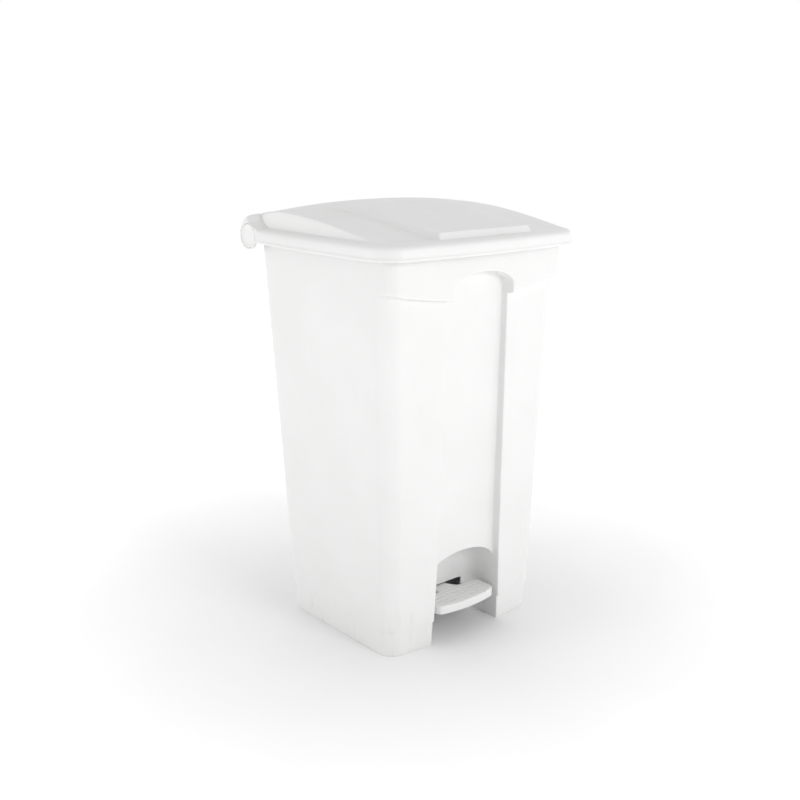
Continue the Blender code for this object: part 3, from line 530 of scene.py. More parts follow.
def outer_shell():
    """The closed outside of the body, with its channel and niche, built on the right and mirrored."""
    shape = bmesh.new()
    patches = {"niche": [], "channel": [], "body": []}
    for row in shell_rows():
        level = row["level"]
        if row["arch"] == "above":
            patches["body"].append(shell_columns(row, 0.0, level))
            continue
        if row["arch"] is None:
            edge = (channel_half(level), level, 1.0, 0.0)
        else:
            edge = arch_point(CHANNEL_HALF, CHANNEL_SPRING, CHANNEL_RISE, row["arch"])
            level = edge[1] + CHANNEL_EDGE * edge[3]
        begin_z = level if row["arch"] is None else edge[1] - CHANNEL_FILLET * edge[3]
        begin = (0.0, channel_floor(edge[1]), begin_z)
        if row["niche"] is not None:
            niche_edge = arch_point(NICHE_HALF, NICHE_SPRING, NICHE_RISE, row["niche"])
            radius = NICHE_EDGE
            if row["niche"] == 0.0:
                niche_edge = (edge[0] - NICHE_STEP, row["level"], 1.0, 0.0)
                radius = 0.4 * NICHE_STEP
            wall = niche_columns(niche_edge, math.cos(row["niche"]), radius)
            patches["niche"].append(wall)
            begin = wall[-1]
        strip = channel_columns(row, edge, begin, level)
        patches["channel"].append(strip)
        patches["body"].append(shell_columns(row, strip[-1][0], level))
    for rows in patches.values():
        made = [[shape.verts.new(point) for point in row] for row in rows]
        for low, high in zip(made, made[1:]):
            for i in range(len(low) - 1):
                shape.faces.new((low[i], low[i + 1], high[i + 1], high[i]))
    right = list(shape.faces)
    copied = bmesh.ops.duplicate(shape, geom=list(shape.verts) + list(shape.edges) + right)["geom"]
    for item in copied:
        if isinstance(item, bmesh.types.BMVert):
            item.co.x = -item.co.x
    bmesh.ops.remove_doubles(shape, verts=shape.verts, dist=SEAM_WELD)
    bmesh.ops.dissolve_degenerate(shape, edges=shape.edges, dist=WELD)
    open_edges = [edge for edge in shape.edges if len(edge.link_faces) == 1]
    bmesh.ops.holes_fill(shape, edges=open_edges, sides=0)
    return finished(shape)


def inner_rows(levels, inset):
    """Rings of a hollow in the body, from (level, mix, rise, extra inset) rows."""
    rings = []
    for level, mix, rise, extra in levels:
        row = {"rise": rise, "band": level < BAND_TOP, "mix": mix, "inset": inset + extra}
        rings.append(mirrored_loop(shell_columns(row, 0.0, level)))
    return rings


def channel_solid(grow):
    """The front channel as a solid, which can be grown by the wall's thickness."""
    right = [(x + grow, max(z, -0.02)) for x, z in CHANNEL_SIDE[:3]]
    right[0] = (right[0][0], -0.02)
    steps = 28
    arch = [(math.cos(a) * (CHANNEL_HALF + grow), CHANNEL_SPRING + (CHANNEL_RISE + grow) * math.sin(a))
            for a in (math.pi * i / steps for i in range(steps + 1))]
    outline = right + arch + [(-x, z) for x, z in reversed(right)]
    return skin([[(x, -BEYOND, z) for x, z in outline],
                 [(x, channel_floor(z) + grow, z) for x, z in outline]])


def niche_solid(grow):
    """The niche as a solid, which can be grown by the wall's thickness."""
    start_side = NICHE_BACK - NICHE_CORNER
    levels = [(-0.10, 1.0, channel_half(0.0)), (0.0, 1.0, channel_half(0.0))]
    for i in range(14):
        angle = i * math.pi / 28
        levels.append((NICHE_SPRING + (NICHE_RISE + grow) * math.sin(angle), math.cos(angle), NICHE_HALF))
    rings = []
    for z, shrink, side in levels:
        half = (side + grow) * shrink
        back = start_side + (NICHE_CORNER + grow) * shrink
        flat = (side - NICHE_CORNER) * shrink
        plan = [(0.0, back, z), (flat / 2, back, z)]
        for i in range(9):
            turn = math.pi / 2 - i * math.pi / 16
            depth = start_side + (back - start_side) * math.sin(turn)
            plan.append((flat + (half - flat) * math.cos(turn), depth, z))
        plan += [(half, -BEYOND, z), (0.0, -BEYOND, z)]
        rings.append(mirrored_loop(plan))
    return skin(rings)


def rear_channel_solid(grow, low, high):
    half = REAR_CHANNEL_HALF + grow
    inner = REAR_CHANNEL_DEPTH + grow
    profile = [(back_wall_y(z) + shift, z) for z, shift in
               ((low, -inner), (low, 0.08), (high, 0.08), (high, -inner))]
    return prism_x(profile, -half, half)


def knuckle_solid(low, high):
    """A round eye on the hinge line, with a web down to the back wall."""
    eye = arc(HINGE_Y, HINGE_Z, KNUCKLE_RADIUS, 32, math.radians(-50), math.radians(180))
    foot = back_wall_y(KNUCKLE_FOOT)
    outline = eye + [(foot - WALL - KNUCKLE_RADIUS, BACK_WALL_TOP), (foot - WALL, KNUCKLE_FOOT),
                     (foot - 0.001, KNUCKLE_FOOT), (back_wall_y(BACK_WALL_TOP) - 0.001, BACK_WALL_TOP)]
    return prism_x(outline, low, high)


def body_mesh():
    ledge_in = LEDGE_MIDDLE + WALL
    room = inner_rows((
        (FLOOR_TOP, 0.0, 0.0, 0.006), (FLOOR_TOP + 0.0018, 0.0, 0.0, 0.0018),
        (FLOOR_TOP + 0.006, 0.0, 0.0, 0.0), (0.35, 0.0, 0.0, 0.0), (BEND_LOW, 0.0, 0.0, 0.0),
        (ledge_in, 0.0, LEDGE_RISE, 0.0), (ledge_in + 0.0010, 0.7, LEDGE_RISE, 0.0),
        (ledge_in + 0.0045, 1.0, LEDGE_RISE, 0.0), (0.735, 1.0, 0.0, 0.0),
        (BODY_TOP - 0.001, 1.0, 0.0, 0.0), (BODY_TOP + 0.004, 1.0, 0.0, -0.004)), WALL)
    hollow = carved(skin(room), removed=(channel_solid(WALL), niche_solid(WALL),
                                         rear_channel_solid(WALL, -0.05, 0.9)))
    underside = carved(skin(inner_rows((
        (-0.01, 0.0, 0.0, 0.0), (BAND_TOP - 0.001, 0.0, 0.0, 0.0), (BAND_TOP + 0.002, 0.0, 0.0, 0.0),
        (FLOOR_UNDER, 0.0, 0.0, 0.0)), WALL)), removed=(channel_solid(WALL), niche_solid(WALL)))
    knuckles = [knuckle_solid(*sorted(side * x for x in KNUCKLE_SPAN)) for side in (-1, 1)]
    shell = carved(outer_shell(), removed=(
        rear_channel_solid(0.0, FLOOR_UNDER - 0.0015, 0.9), hollow, underside,
        box((-SLOT_HALF, -0.12, -0.05), (SLOT_HALF, -0.05, SLOT_TOP)),
        box((-REAR_CHANNEL_HALF, 0.10, -0.05), (REAR_CHANNEL_HALF, BEYOND, FLOOR_UNDER)),
        box((-CORNER_INNER, EAR_START_Y, BACK_WALL_TOP), (CORNER_INNER, BEYOND, 0.80)),
        box((-BEYOND, EAR_START_Y, CORNER_TOP), (BEYOND, BEYOND, 0.80))))
    bore = turned_x(((-0.16, ROD_BORE), (0.16, ROD_BORE)), HINGE_Y, HINGE_Z, 24)
    return carved(shell, joined=knuckles, removed=(bore,))


# -------- lid shell

def dome_edge(y):
    """Height of the dome along its sides: a long rise to the peak, then a short fall to the hinge."""
    if y > DOME_PEAK_Y:
        return DOME_LOW + DOME_RISE - DOME_FALL * ((y - DOME_PEAK_Y) / DOME_FALL_REACH) ** 2
    share = max(0.0, (y - DOME_FRONT_Y) / (DOME_PEAK_Y - DOME_FRONT_Y))
    return DOME_LOW + DOME_RISE * math.sin(share * math.pi / 2)


def dome_z(x, y):
    edge = dome_edge(y)
    crown = DOME_CROWN * (edge - DOME_LOW) / DOME_RISE
    return edge + crown * (1 - min(1.0, abs(x) / DOME_HALF) ** DOME_POWER)


def ear_lift(y):
    """How far the ledge has swept up towards the hinge barrel."""
    return EAR_LIFT * max(0.0, min(1.0, (y - EAR_START_Y) / EAR_REACH)) ** 2


def lid_ring(inset, z, lift=0.0):
    ring = mirrored_loop(half_outline(LID, inset, 0.0, LID_SIDE_BOW))
    return [(x, y, z + lift * ear_lift(y)) for x, y in ring]


def dome_ring(inset, share, scale=1.0, drop=0.0):
    """Ring on the dome: share goes from its foot on the ledge to its top, scale shrinks it inwards."""
    section = dict(LID, back=DOME_BACK_Y + DOME_FOOT, r_back=DOME_BACK_RADIUS + DOME_FOOT)
    centre = DOME_PEAK_Y * 0.2
    ring = []
    for x, y in mirrored_loop(half_outline(section, inset, 0.0, LID_SIDE_BOW)):
        px = x * scale
        py = blend(centre, y, scale)
        ring.append((px, py, blend(DOME_LOW - 0.0006, dome_z(px, py), share) - drop))
    return ring


def lid_outside():
    """The lid without its panel and hood: bead and skirt, ledge, the dome's foot, then its top."""
    rings = []
    for inset, height in (
            (0.0016, 0.0), (0.0006, 0.0003), (0.0001, 0.0010), (0.0, 0.0020), (0.0001, 0.0032),
            (0.0004, 0.0044), (0.0009, 0.0054), (0.0013, 0.0062), (0.0015, 0.0074), (0.0016, 0.0095)):
        rings.append(lid_ring(inset, RIM_LEVEL + height))
    for inset, height in LEDGE_PROFILE:
        rings.append(lid_ring(inset, RIM_LEVEL + height, min(1.0, (LIFT_END - inset) / LIFT_FADE)))
    for inset, share in ((0.0190, 0.0), (0.0200, 0.03), (0.0206, 0.10), (0.0214, 0.40), (0.0222, 0.72),
                         (0.0229, 0.88), (0.0240, 0.960), (0.0256, 0.992), (DOME_TOP_INSET, 1.0)):
        rings.append(dome_ring(inset, share))
    for scale in (0.95, 0.88, 0.80, 0.70, 0.59, 0.47, 0.34, 0.20, 0.08):
        rings.append(dome_ring(DOME_TOP_INSET, 1.0, scale))
    return skin(rings)


def lid_hollow():
    """Room under the lid, which ends in front of the hinge."""
    top_inset = 0.0265
    end_y = 0.163
    rings = []
    for inset, z in ((LID_THICK, RIM_LEVEL - 0.02), (LID_THICK, RIM_LEVEL + 0.004),
                     (LID_THICK + 0.002, RIM_LEVEL + 0.006), (LID_THICK + 0.003, LEDGE_TOP - 0.008),
                     (LID_THICK + 0.0055, LEDGE_TOP - 0.004), (0.0165, LEDGE_TOP - 0.0015)):
        rings.append(lid_ring(inset, z))
    rings += [dome_ring(DOME_FOOT, 0.0, 1.0, 0.002), dome_ring(top_inset, 1.0, 1.0, 0.0036)]
    for scale in (0.90, 0.75, 0.55, 0.30, 0.10):
        rings.append(dome_ring(top_inset, 1.0, scale, LID_THICK))
    return carved(skin(rings), removed=(box((-BEYOND, end_y, 0.70), (BEYOND, BEYOND, 0.90)),))


def panel_mesh():
    """Raised centre panel with a sloped front face and rounded edges, which runs out towards the back."""
    rows = []
    front_rows = ((-0.0118, -0.0040, -0.0010), (-0.0096, 0.0004, -0.0008), (-0.0071, 0.0052, -0.0004),
                  (-0.0047, 0.0096, 0.0), (-0.0037, 0.0112, 0.0002), (-0.0018, 0.0119, 0.0),
                  (0.0025, 0.0119, 0.0))
    for shift, height, narrow in front_rows:
        rows.append((PANEL_TOP_FRONT + shift, height, PANEL_HALF_FRONT - narrow, 1.0))
    count = 14
    for i in range(1, count + 1):
        share = i / count
        y = blend(PANEL_TOP_FRONT + 0.0025, PANEL_BACK, share)
        half = blend(PANEL_HALF_FRONT, PANEL_HALF_BACK, share)
        rows.append((y, (PANEL_STEP - 0.0001) * (1 - share) ** 1.2 + 0.0001, half, (1 - share) ** 0.6))
    edge = ((0.0042, -0.4), (0.0034, 0.02), (0.0022, 0.34), (0.0008, 0.70), (-0.0004, 0.88),
            (-0.0020, 0.975), (-0.0042, 1.0))
    rings = []
    for y, height, half, spread in rows:
        side = []
        for out, level in edge:
            x = half + out * spread
            lift = height * level if level > 0 else -0.002
            side.append((x, y, dome_z(x, y) + lift))
        for i in range(1, 9):
            x = (half + edge[-1][0] * spread) * (1 - i / 8)
            side.append((x, y, dome_z(x, y) + height))
        top = side + [(-x, py, z) for x, py, z in reversed(side[:-1])]
        low = [(x, py, dome_z(x, py) - 0.0075) for x, py, _ in reversed(top)]
        rings.append(top + low)
    return skin(rings)


def hood_curve(share, inset=0.0, start_y=HOOD_START_Y):
    """Top of the hood, from the dome's back edge round to the back of the barrel, as (y, z)."""
    start = dome_z(HOOD_JOIN_X, HOOD_START_Y) - 0.001 - inset
    back = HINGE_Y + HOOD_BACK - inset
    return bezier((start_y, start), (0.188, start - 0.001), (back + 0.0005, HOOD_TOP - inset),
                  (back, HINGE_Z), share)


def ledge_level(x):
    """Height of the ledge where the ears begin, just below its surface."""
    bow = LID_SIDE_BOW * 0.36
    base = RIM_LEVEL - 0.0004
    inset = BARREL_END + bow - abs(x)
    for (in_0, up_0), (in_1, up_1) in zip(LEDGE_PROFILE, LEDGE_PROFILE[1:]):
        if inset <= in_1:
            return base + blend(up_0, up_1, (inset - in_0) / (in_1 - in_0))
    return base + LEDGE_PROFILE[-1][1]


def ear_curve(share, low):
    """Lid edge at the barrel's end: up from the ledge on to the barrel, then round it."""
    if share > HOOD_CLIMB:
        turn = EAR_JOIN * (1 - share) / (1 - HOOD_CLIMB)
        return (HINGE_Y + EAR_RADIUS * math.cos(turn), HINGE_Z + EAR_RADIUS * math.sin(turn))
    top = (HINGE_Y + EAR_RADIUS * math.cos(EAR_JOIN), HINGE_Z + EAR_RADIUS * math.sin(EAR_JOIN))
    lead = (top[0] - 0.010 * math.sin(EAR_JOIN), top[1] + 0.010 * math.cos(EAR_JOIN))
    return bezier((EAR_START_Y, low), (EAR_START_Y + 0.018, low), lead, top, share / HOOD_CLIMB)


def shoulder_curve(share, low):
    """Lid beside the dome: a concave climb from the ledge to a crest, then down behind the barrel."""
    crest_y, crest_z = HOOD_CREST
    back = HINGE_Y + HOOD_BACK
    if share < HOOD_CLIMB:
        return bezier((EAR_START_Y - 0.014, low), (EAR_START_Y + 0.008, low + 0.001),
                      (crest_y - 0.0105, crest_z - 0.013), HOOD_CREST, share / HOOD_CLIMB)
    return bezier(HOOD_CREST, (crest_y + 0.004, crest_z + 0.0046), (back + 0.0005, 0.7972),
                  (back, HINGE_Z), (share - HOOD_CLIMB) / (1 - HOOD_CLIMB))


def hood_point(x, share):
    """Point of the hood's outside: ear at the end, shoulder beside the dome, full hood behind the dome."""
    size = abs(x)
    low = ledge_level(x)
    behind = smooth_step((share - HOOD_CLIMB) / 0.30)
    valley = smooth_step((HOOD_VALLEY[1] - size) / (HOOD_VALLEY[1] - HOOD_VALLEY[0]))
    bulge = max(0.0, min(1.0, (HOOD_EDGE - size) / (HOOD_EDGE - HOOD_FULL)))
    grown = blend(valley, math.sqrt(1 - (1 - bulge) ** 2), behind)
    inward = smooth_step((HOOD_VALLEY[0] - size) / 0.014)
    inner = [blend(a, b, inward) for a, b in zip(shoulder_curve(share, low), hood_curve(share))]
    return [blend(a, b, grown) for a, b in zip(ear_curve(share, low), inner)]


def hood_mesh():
    """Hood over the hinge, from the dome's back edge down to the barrel, with ends that sweep out."""
    steps = 36
    rings = []
    for x in [-x for x in HOOD_COLUMNS[:-1]] + list(reversed(HOOD_COLUMNS)):
        ring = [(x, *hood_point(x, i / steps)) for i in range(steps + 1)]
        reach = ring[-1][1] - HINGE_Y
        for i in range(1, HOOD_UNDER_STEPS + 1):
            turn = -HOOD_TURN * i / HOOD_UNDER_STEPS
            radius = EAR_RADIUS + (reach - EAR_RADIUS) * (1 - (i / HOOD_UNDER_STEPS) ** 2)
            ring.append((x, HINGE_Y + radius * math.cos(turn), HINGE_Z + radius * math.sin(turn)))
        rings.append(ring + [(x, EAR_START_Y, min(LEDGE_TOP, ledge_level(x)) - 0.006)])
    return skin(rings)


def ear_room():
    """Open room between the inner bearing and the ear, as (y, z) points."""
    radius = BARREL_RADIUS - HOOD_WALL
    meet = math.pi - math.asin((LEVER_SEAT - HINGE_Z) / radius)
    return arc(HINGE_Y, HINGE_Z, radius, 24, 0.0, meet) + [
        (EAR_START_Y, LEVER_SEAT), (EAR_START_Y, 0.70), (0.26, 0.70), (0.26, HINGE_Z)]


def ear_web(side):
    """Concave corner between the ear and the lower edge of the skirt."""
    radius = 0.007
    drop = HINGE_Z - RIM_LEVEL + radius
    centre_y = HINGE_Y - math.sqrt((BARREL_RADIUS + radius) ** 2 - drop ** 2)
    centre_z = RIM_LEVEL - radius
    toward = math.atan2(HINGE_Z - centre_z, HINGE_Y - centre_y)
    outline = arc(centre_y, centre_z, radius, 10, math.pi / 2, toward)
    outline += [(HINGE_Y - 0.016, HINGE_Z - 0.006), (centre_y, RIM_LEVEL + 0.006)]
    low, high = sorted((side * (EAR_INNER + 0.001), side * (BARREL_END - 0.0006)))
    return prism_x(outline, low, high)


def knuckle_room():
    """Room under the hood for the body's knuckles and the lid lever, as (y, z) points."""
    wall_y = HOOD_START_Y + HOOD_WALL + 0.003
    seat_y = 0.1765
    seat_top = LEVER_SEAT + LEVER_SEAT_HEIGHT
    return [hood_curve(i / 16, HOOD_WALL, wall_y) for i in range(17)] + [
        (0.26, HINGE_Z), (0.26, 0.70), (EAR_START_Y, 0.70), (EAR_START_Y, LEVER_SEAT),
        (seat_y, LEVER_SEAT), (seat_y, seat_top), (wall_y, seat_top)]


def dome_normal(point):
    """Upright direction of the dome's surface above a point."""
    step = 0.0005
    slope_x = (dome_z(point.x + step, point.y) - dome_z(point.x - step, point.y)) / (2 * step)
    slope_y = (dome_z(point.x, point.y + step) - dome_z(point.x, point.y - step)) / (2 * step)
    return Vector((-slope_x, -slope_y, 1.0)).normalized()


def smooth_dome(mesh):
    """The dome's true normals on its faces, so that the raised panel leaves it along a crisp line."""
    half, front, back = 0.214, -0.192, 0.165
    off_surface = 0.0008
    least_match = math.cos(math.radians(7))
    normals = [Vector(normal.vector) for normal in mesh.corner_normals]
    for face in mesh.polygons:
        points = [mesh.vertices[index].co for index in face.vertices]
        inside = all(abs(point.x) < half and front < point.y < back for point in points)
        if not inside or any(abs(point.z - dome_z(point.x, point.y)) > off_surface for point in points):
            continue
        if face.normal.dot(dome_normal(face.center)) < least_match:
            continue
        for loop, point in zip(face.loop_indices, points):
            normals[loop] = dome_normal(point)
    mesh.normals_split_custom_set(normals)


def lid_mesh():
    end = BARREL_END
    radius = BARREL_RADIUS
    rim = ((end, radius - 0.0020), (end - 0.0003, radius - 0.0009), (end - 0.0010, radius - 0.0002),
           (end - 0.0020, radius))
    barrel = turned_x([(-x, r) for x, r in rim] + [(x, r) for x, r in reversed(rim)], HINGE_Y, HINGE_Z, 72)
    removed = [lid_hollow(), prism_x(knuckle_room(), -BARREL_INNER_END, BARREL_INNER_END),
               turned_x(((-EAR_INNER, BUSH_BORE), (EAR_INNER, BUSH_BORE)), HINGE_Y, HINGE_Z, 24),
               turned_x(((-0.26, ROD_BORE), (0.26, ROD_BORE)), HINGE_Y, HINGE_Z, 24)]
    pocket = CAP_RADIUS + GAP
    for side in (-1, 1):
        removed.append(prism_x(ear_room(), *sorted((side * BEARING_END, side * EAR_INNER))))
        profile = [(end + 0.01, pocket + 0.0008), (end - 0.0002, pocket + 0.0006), (end - 0.0011, pocket),
                   (end - CAP_DEPTH - GAP, pocket)]
        removed.append(turned_x([(side * x, r) for x, r in profile], HINGE_Y, HINGE_Z, 64))
    joined = (panel_mesh(), hood_mesh(), barrel, ear_web(-1), ear_web(1))
    lid = carved(lid_outside(), joined=joined, removed=removed)
    smooth_dome(lid)
    return lid


def cap_mesh(side):
    """End disc of the hinge barrel: a shallow dish inside a rounded rim."""
    end = BARREL_END
    rim = CAP_RADIUS
    profile = ((end - CAP_DEPTH, rim - 0.0006), (end - CAP_DEPTH + 0.0006, rim), (end - 0.0012, rim),
               (end - 0.0003, rim - 0.0004), (end, rim - 0.0014), (end - 0.0001, rim - 0.0030),
               (end - 0.0009, rim - 0.0042), (end - 0.0013, rim - 0.0065), (end - 0.0011, 0.009),
               (end - 0.0009, 0.004), (end - 0.0008, 0.0008))
    return turned_x([(side * x, r) for x, r in profile], HINGE_Y, HINGE_Z, 64)


# -------- tread plate

def tread_outline(grow=0.0):
    """Convex front, round corners, waisted at the back into the neck."""
    flat = TREAD_HALF - TREAD_CORNER
    reach = TREAD_CORNER + grow
    right = []

    def bowed(x, y):
        return (x, y - TREAD_BOW * (1 - (min(x, TREAD_HALF) / TREAD_HALF) ** 2))

    for i in range(10):
        right.append(bowed(flat * i / 10, TREAD_FRONT - grow))
    for i in range(9):
        angle = -math.pi / 2 + i * math.pi / 16
        y = TREAD_FRONT + TREAD_CORNER + reach * math.sin(angle)
        right.append(bowed(flat + reach * math.cos(angle), y))
    for i in range(9):
        angle = i * math.pi / 16
        y = TREAD_REAR - 0.010 + (TREAD_REAR_CORNER + grow) * math.sin(angle)
        right.append((flat + reach * math.cos(angle), y))
    fillet = NECK_FILLET - grow
    centre = (NECK_HALF + NECK_FILLET, TREAD_REAR + NECK_FILLET)
    for i in range(9):
        angle = math.pi * 1.5 - i * math.pi / 16
        right.append((centre[0] + fillet * math.cos(angle), centre[1] + fillet * math.sin(angle)))
    right.append((NECK_HALF + grow, NECK_END))
    return right + [(-x, y) for x, y in reversed(right[1:])]


def tread_mesh():
    """Plate with rounded edges, five grooves inside a border, and hollow sides below."""
    profile = ((-0.0010, TREAD_LIP), (-0.0003, TREAD_LIP + 0.0003), (0.0, TREAD_LIP + 0.0010),
               (0.0, TREAD_TOP - 0.0024), (-0.0004, TREAD_TOP - 0.0010), (-0.0012, TREAD_TOP - 0.0002),
               (-0.0024, TREAD_TOP))
    plate = skin([[(x, y, z) for x, y in tread_outline(grow)] for grow, z in profile])
    slope = [(-0.114, TREAD_TOP + 0.01), (-0.114, TREAD_TOP - 0.0002), (-0.108, TREAD_TOP - 0.0014),
             (-0.085, 0.0690), (NECK_END + 0.01, 0.0675), (NECK_END + 0.01, TREAD_TOP + 0.01)]
    removed = [prism_x(slope, -0.05, 0.05), prism_z(tread_outline(-0.003), 0.05, TREAD_UNDER),
               box((-0.09, -0.128, 0.05), (0.09, -0.05, TREAD_UNDER))]
    low = TREAD_TOP - GROOVE_DEPTH
    high = TREAD_TOP + 0.001
    for number in range(GROOVES):
        y = GROOVE_FRONT + number * GROOVE_STEP
        groove = [(y - GROOVE_HALF_TOP, high), (y - GROOVE_HALF_LOW, low), (y + GROOVE_HALF_LOW, low),
                  (y + GROOVE_HALF_TOP, high)]
        reach = GROOVE_REACH if number else GROOVE_FIRST_REACH
        end = reach + 0.0012
        ends = ((-end, GROOVE_DEPTH), (-reach, 0.0), (reach, 0.0), (end, GROOVE_DEPTH))
        removed.append(skin([[(x, py, pz + lift) for py, pz in groove] for x, lift in ends]))
    for side in (-1, 1):
        low, high = sorted((side * 0.036, side * 0.0705))
        removed.append(box((low, -0.1620, 0.05), (high, -0.1200, TREAD_TOP - 0.0040)))
    return carved(plate, removed=removed)


# -------- materials

class Nodes:
    """Short ways to add linked nodes to a material."""

    def __init__(self, name):
        self.material = bpy.data.materials.new(name)
        self.material.use_nodes = True
        self.tree = self.material.node_tree
        self.shader = self.tree.nodes["Principled BSDF"]
        self.place = self.add("ShaderNodeTexCoord").outputs["Object"]

    def add(self, kind, links=(), **settings):
        node = self.tree.nodes.new(kind)
        for key, value in settings.items():
            setattr(node, key, value)
        for key, value in links:
            if isinstance(value, bpy.types.NodeSocket):
                self.tree.links.new(value, node.inputs[key])
            else:
                node.inputs[key].default_value = value
        return node

    def noise(self, scale, detail=4.0, stretch=None):
        place = self.place
        if stretch:
            links = (("Vector", place), ("Scale", stretch))
            place = self.add("ShaderNodeMapping", links).outputs["Vector"]
        links = (("Vector", place), ("Scale", scale), ("Detail", detail))
        return self.add("ShaderNodeTexNoise", links).outputs["Fac"]

    def range(self, value, low, high, to_low, to_high):
        links = (("Value", value), ("From Min", low), ("From Max", high),
                 ("To Min", to_low), ("To Max", to_high))
        return self.add("ShaderNodeMapRange", links).outputs["Result"]

    def maths(self, operation, first, second):
        return self.add("ShaderNodeMath", ((0, first), (1, second)), operation=operation).outputs[0]

    def colours(self, value, stops):
        ramp = self.add("ShaderNodeValToRGB", (("Fac", value),))
        elements = ramp.color_ramp.elements
        while len(elements) < len(stops):
            elements.new(0.5)
        for element, (position, colour) in zip(elements, stops):
            element.position = position
            element.color = (*colour, 1.0)
        return ramp.outputs["Color"]

    def mix(self, share, low, high):
        node = self.add("ShaderNodeMix", data_type="RGBA")
        for index, value in ((0, share), (6, low), (7, high)):
            if isinstance(value, bpy.types.NodeSocket):
                self.tree.links.new(value, node.inputs[index])
            else:
                node.inputs[index].default_value = value if index == 0 else (*value, 1.0)
        return node.outputs[2]

    def bumps(self, *layers):
        """Bump layers as (height, distance), the coarse one first."""
        normal = None
        for height, distance in layers:
            links = [("Height", height), ("Distance", distance), ("Strength", 1.0)]
            if normal:
                links.append(("Normal", normal))
            normal = self.add("ShaderNodeBump", links).outputs["Normal"]
        self.join("Normal", normal)

    def join(self, key, value):
        if isinstance(value, bpy.types.NodeSocket):
            self.tree.links.new(value, self.shader.inputs[key])
        else:
            self.shader.inputs[key].default_value = value


def moulded_plastic(name, low, high, roughness, scuff, grain, scuffed_below):
    """Moulded polymer: fine spark-eroded grain, faint flow clouds, scuffs low down."""
    nodes = Nodes(name)
    clouds = nodes.noise(7.0, 5.0)
    flow = nodes.noise(38.0, 3.0, (1.0, 1.0, 0.25))
    colour = nodes.colours(clouds, ((0.30, low), (0.70, high)))
    streaks = nodes.noise(95.0, 8.0, (1.0, 1.0, 0.18))
    marks = nodes.range(streaks, 0.60, 0.74, 0.0, 1.0)
    height = nodes.add("ShaderNodeSeparateXYZ", (("Vector", nodes.place),)).outputs["Z"]
    reach = nodes.range(height, 0.0, scuffed_below, 0.55, 0.05)
    share = nodes.maths("MULTIPLY", marks, reach)
    nodes.join("Base Color", nodes.mix(share, colour, scuff))
    gloss = nodes.range(flow, 0.3, 0.7, roughness - 0.045, roughness + 0.045)
    nodes.join("Roughness", nodes.maths("ADD", gloss, nodes.maths("MULTIPLY", share, 0.18)))
    nodes.join("IOR", 1.49)
    nodes.bumps((flow, 0.00018), (nodes.noise(900.0, 5.0), 0.00006 * grain),
                (nodes.noise(2600.0, 3.0), 0.00003 * grain))
    return nodes.material


def plated_steel(name, low, high, roughness, brushed):
    """Zinc plated steel: soft crystal patches and fine drawn lines."""
    nodes = Nodes(name)
    patches = nodes.add("ShaderNodeTexVoronoi", (("Vector", nodes.place), ("Scale", 240.0)))
    grey = nodes.add("ShaderNodeSeparateColor", (("Color", patches.outputs["Color"]),)).outputs[0]
    lines = nodes.noise(260.0, 6.0, brushed)
    stain = nodes.noise(60.0, 6.0)
    body = nodes.mix(nodes.range(grey, 0.0, 1.0, 0.25, 0.75), low, high)
    stained = tuple(0.72 * channel for channel in low)
    nodes.join("Base Color", nodes.mix(nodes.range(stain, 0.55, 0.75, 0.0, 0.5), body, stained))
    nodes.join("Metallic", 1.0)
    nodes.join("Roughness", nodes.range(lines, 0.3, 0.7, roughness - 0.08, roughness + 0.10))
    nodes.bumps((lines, 0.00005), (nodes.noise(1500.0, 3.0), 0.00002))
    return nodes.material


def black_rubber():
    """Matt rubber with a little dust."""
    nodes = Nodes("black_rubber_look")
    dust = nodes.noise(420.0, 6.0)
    greys = ((0.35, (0.022, 0.022, 0.023)), (0.75, (0.060, 0.059, 0.057)))
    nodes.join("Base Color", nodes.colours(dust, greys))
    nodes.join("Roughness", nodes.range(dust, 0.3, 0.7, 0.68, 0.86))
    nodes.bumps((nodes.noise(1400.0, 4.0), 0.00006))
    return nodes.material


LOOKS = {
    "white_plastic": moulded_plastic(
        "white_plastic_look", low=(0.845, 0.845, 0.840), high=(0.875, 0.875, 0.872), roughness=0.43,
        scuff=(0.70, 0.69, 0.67), grain=1.0, scuffed_below=0.11),
    "grey_plastic": moulded_plastic(
        "grey_plastic_look", low=(0.125, 0.130, 0.135), high=(0.160, 0.165, 0.170), roughness=0.46,
        scuff=(0.22, 0.22, 0.22), grain=1.2, scuffed_below=0.12),
    "zinc_steel": plated_steel(
        "zinc_steel_look", low=(0.50, 0.51, 0.52), high=(0.68, 0.69, 0.70), roughness=0.34,
        brushed=(0.15, 1.0, 1.0)),
    "fastener_steel": plated_steel(
        "fastener_steel_look", low=(0.56, 0.56, 0.54), high=(0.74, 0.73, 0.70), roughness=0.28,
        brushed=(1.0, 1.0, 0.3)),
    "black_rubber": black_rubber(),
}
SLOT_OF = {part["node"]: part["material_slot"] for part in frame["record"]["subparts"]}
BODY_OF = {node: body for body, nodes in frame["record"]["behaviour"]["bodies"].items() for node in nodes}


def fine_piece(name, mesh, node):
    """A fine mesh that stands for a node of the frame, on that node's body and with its material."""
    slot = SLOT_OF[node]
    return piece(name, mesh, LOOKS[slot], BODY_OF[node], node)


# -------- object

fine_piece("fine_body", body_mesh(), "body_shell")
fine_piece("fine_lid", lid_mesh(), "lid_shell")
for hand, hand_side in (("left", -1), ("right", 1)):
    fine_piece(f"fine_hinge_cap_{hand}", cap_mesh(hand_side), f"hinge_cap_{hand}")
fine_piece("fine_treadle", tread_mesh(), "pedal_treadle")
for node_name, node in frame["nodes"].items():
    for place in node.material_slots:
        place.material = LOOKS[SLOT_OF[node_name]]


# -------- floor, light, camera

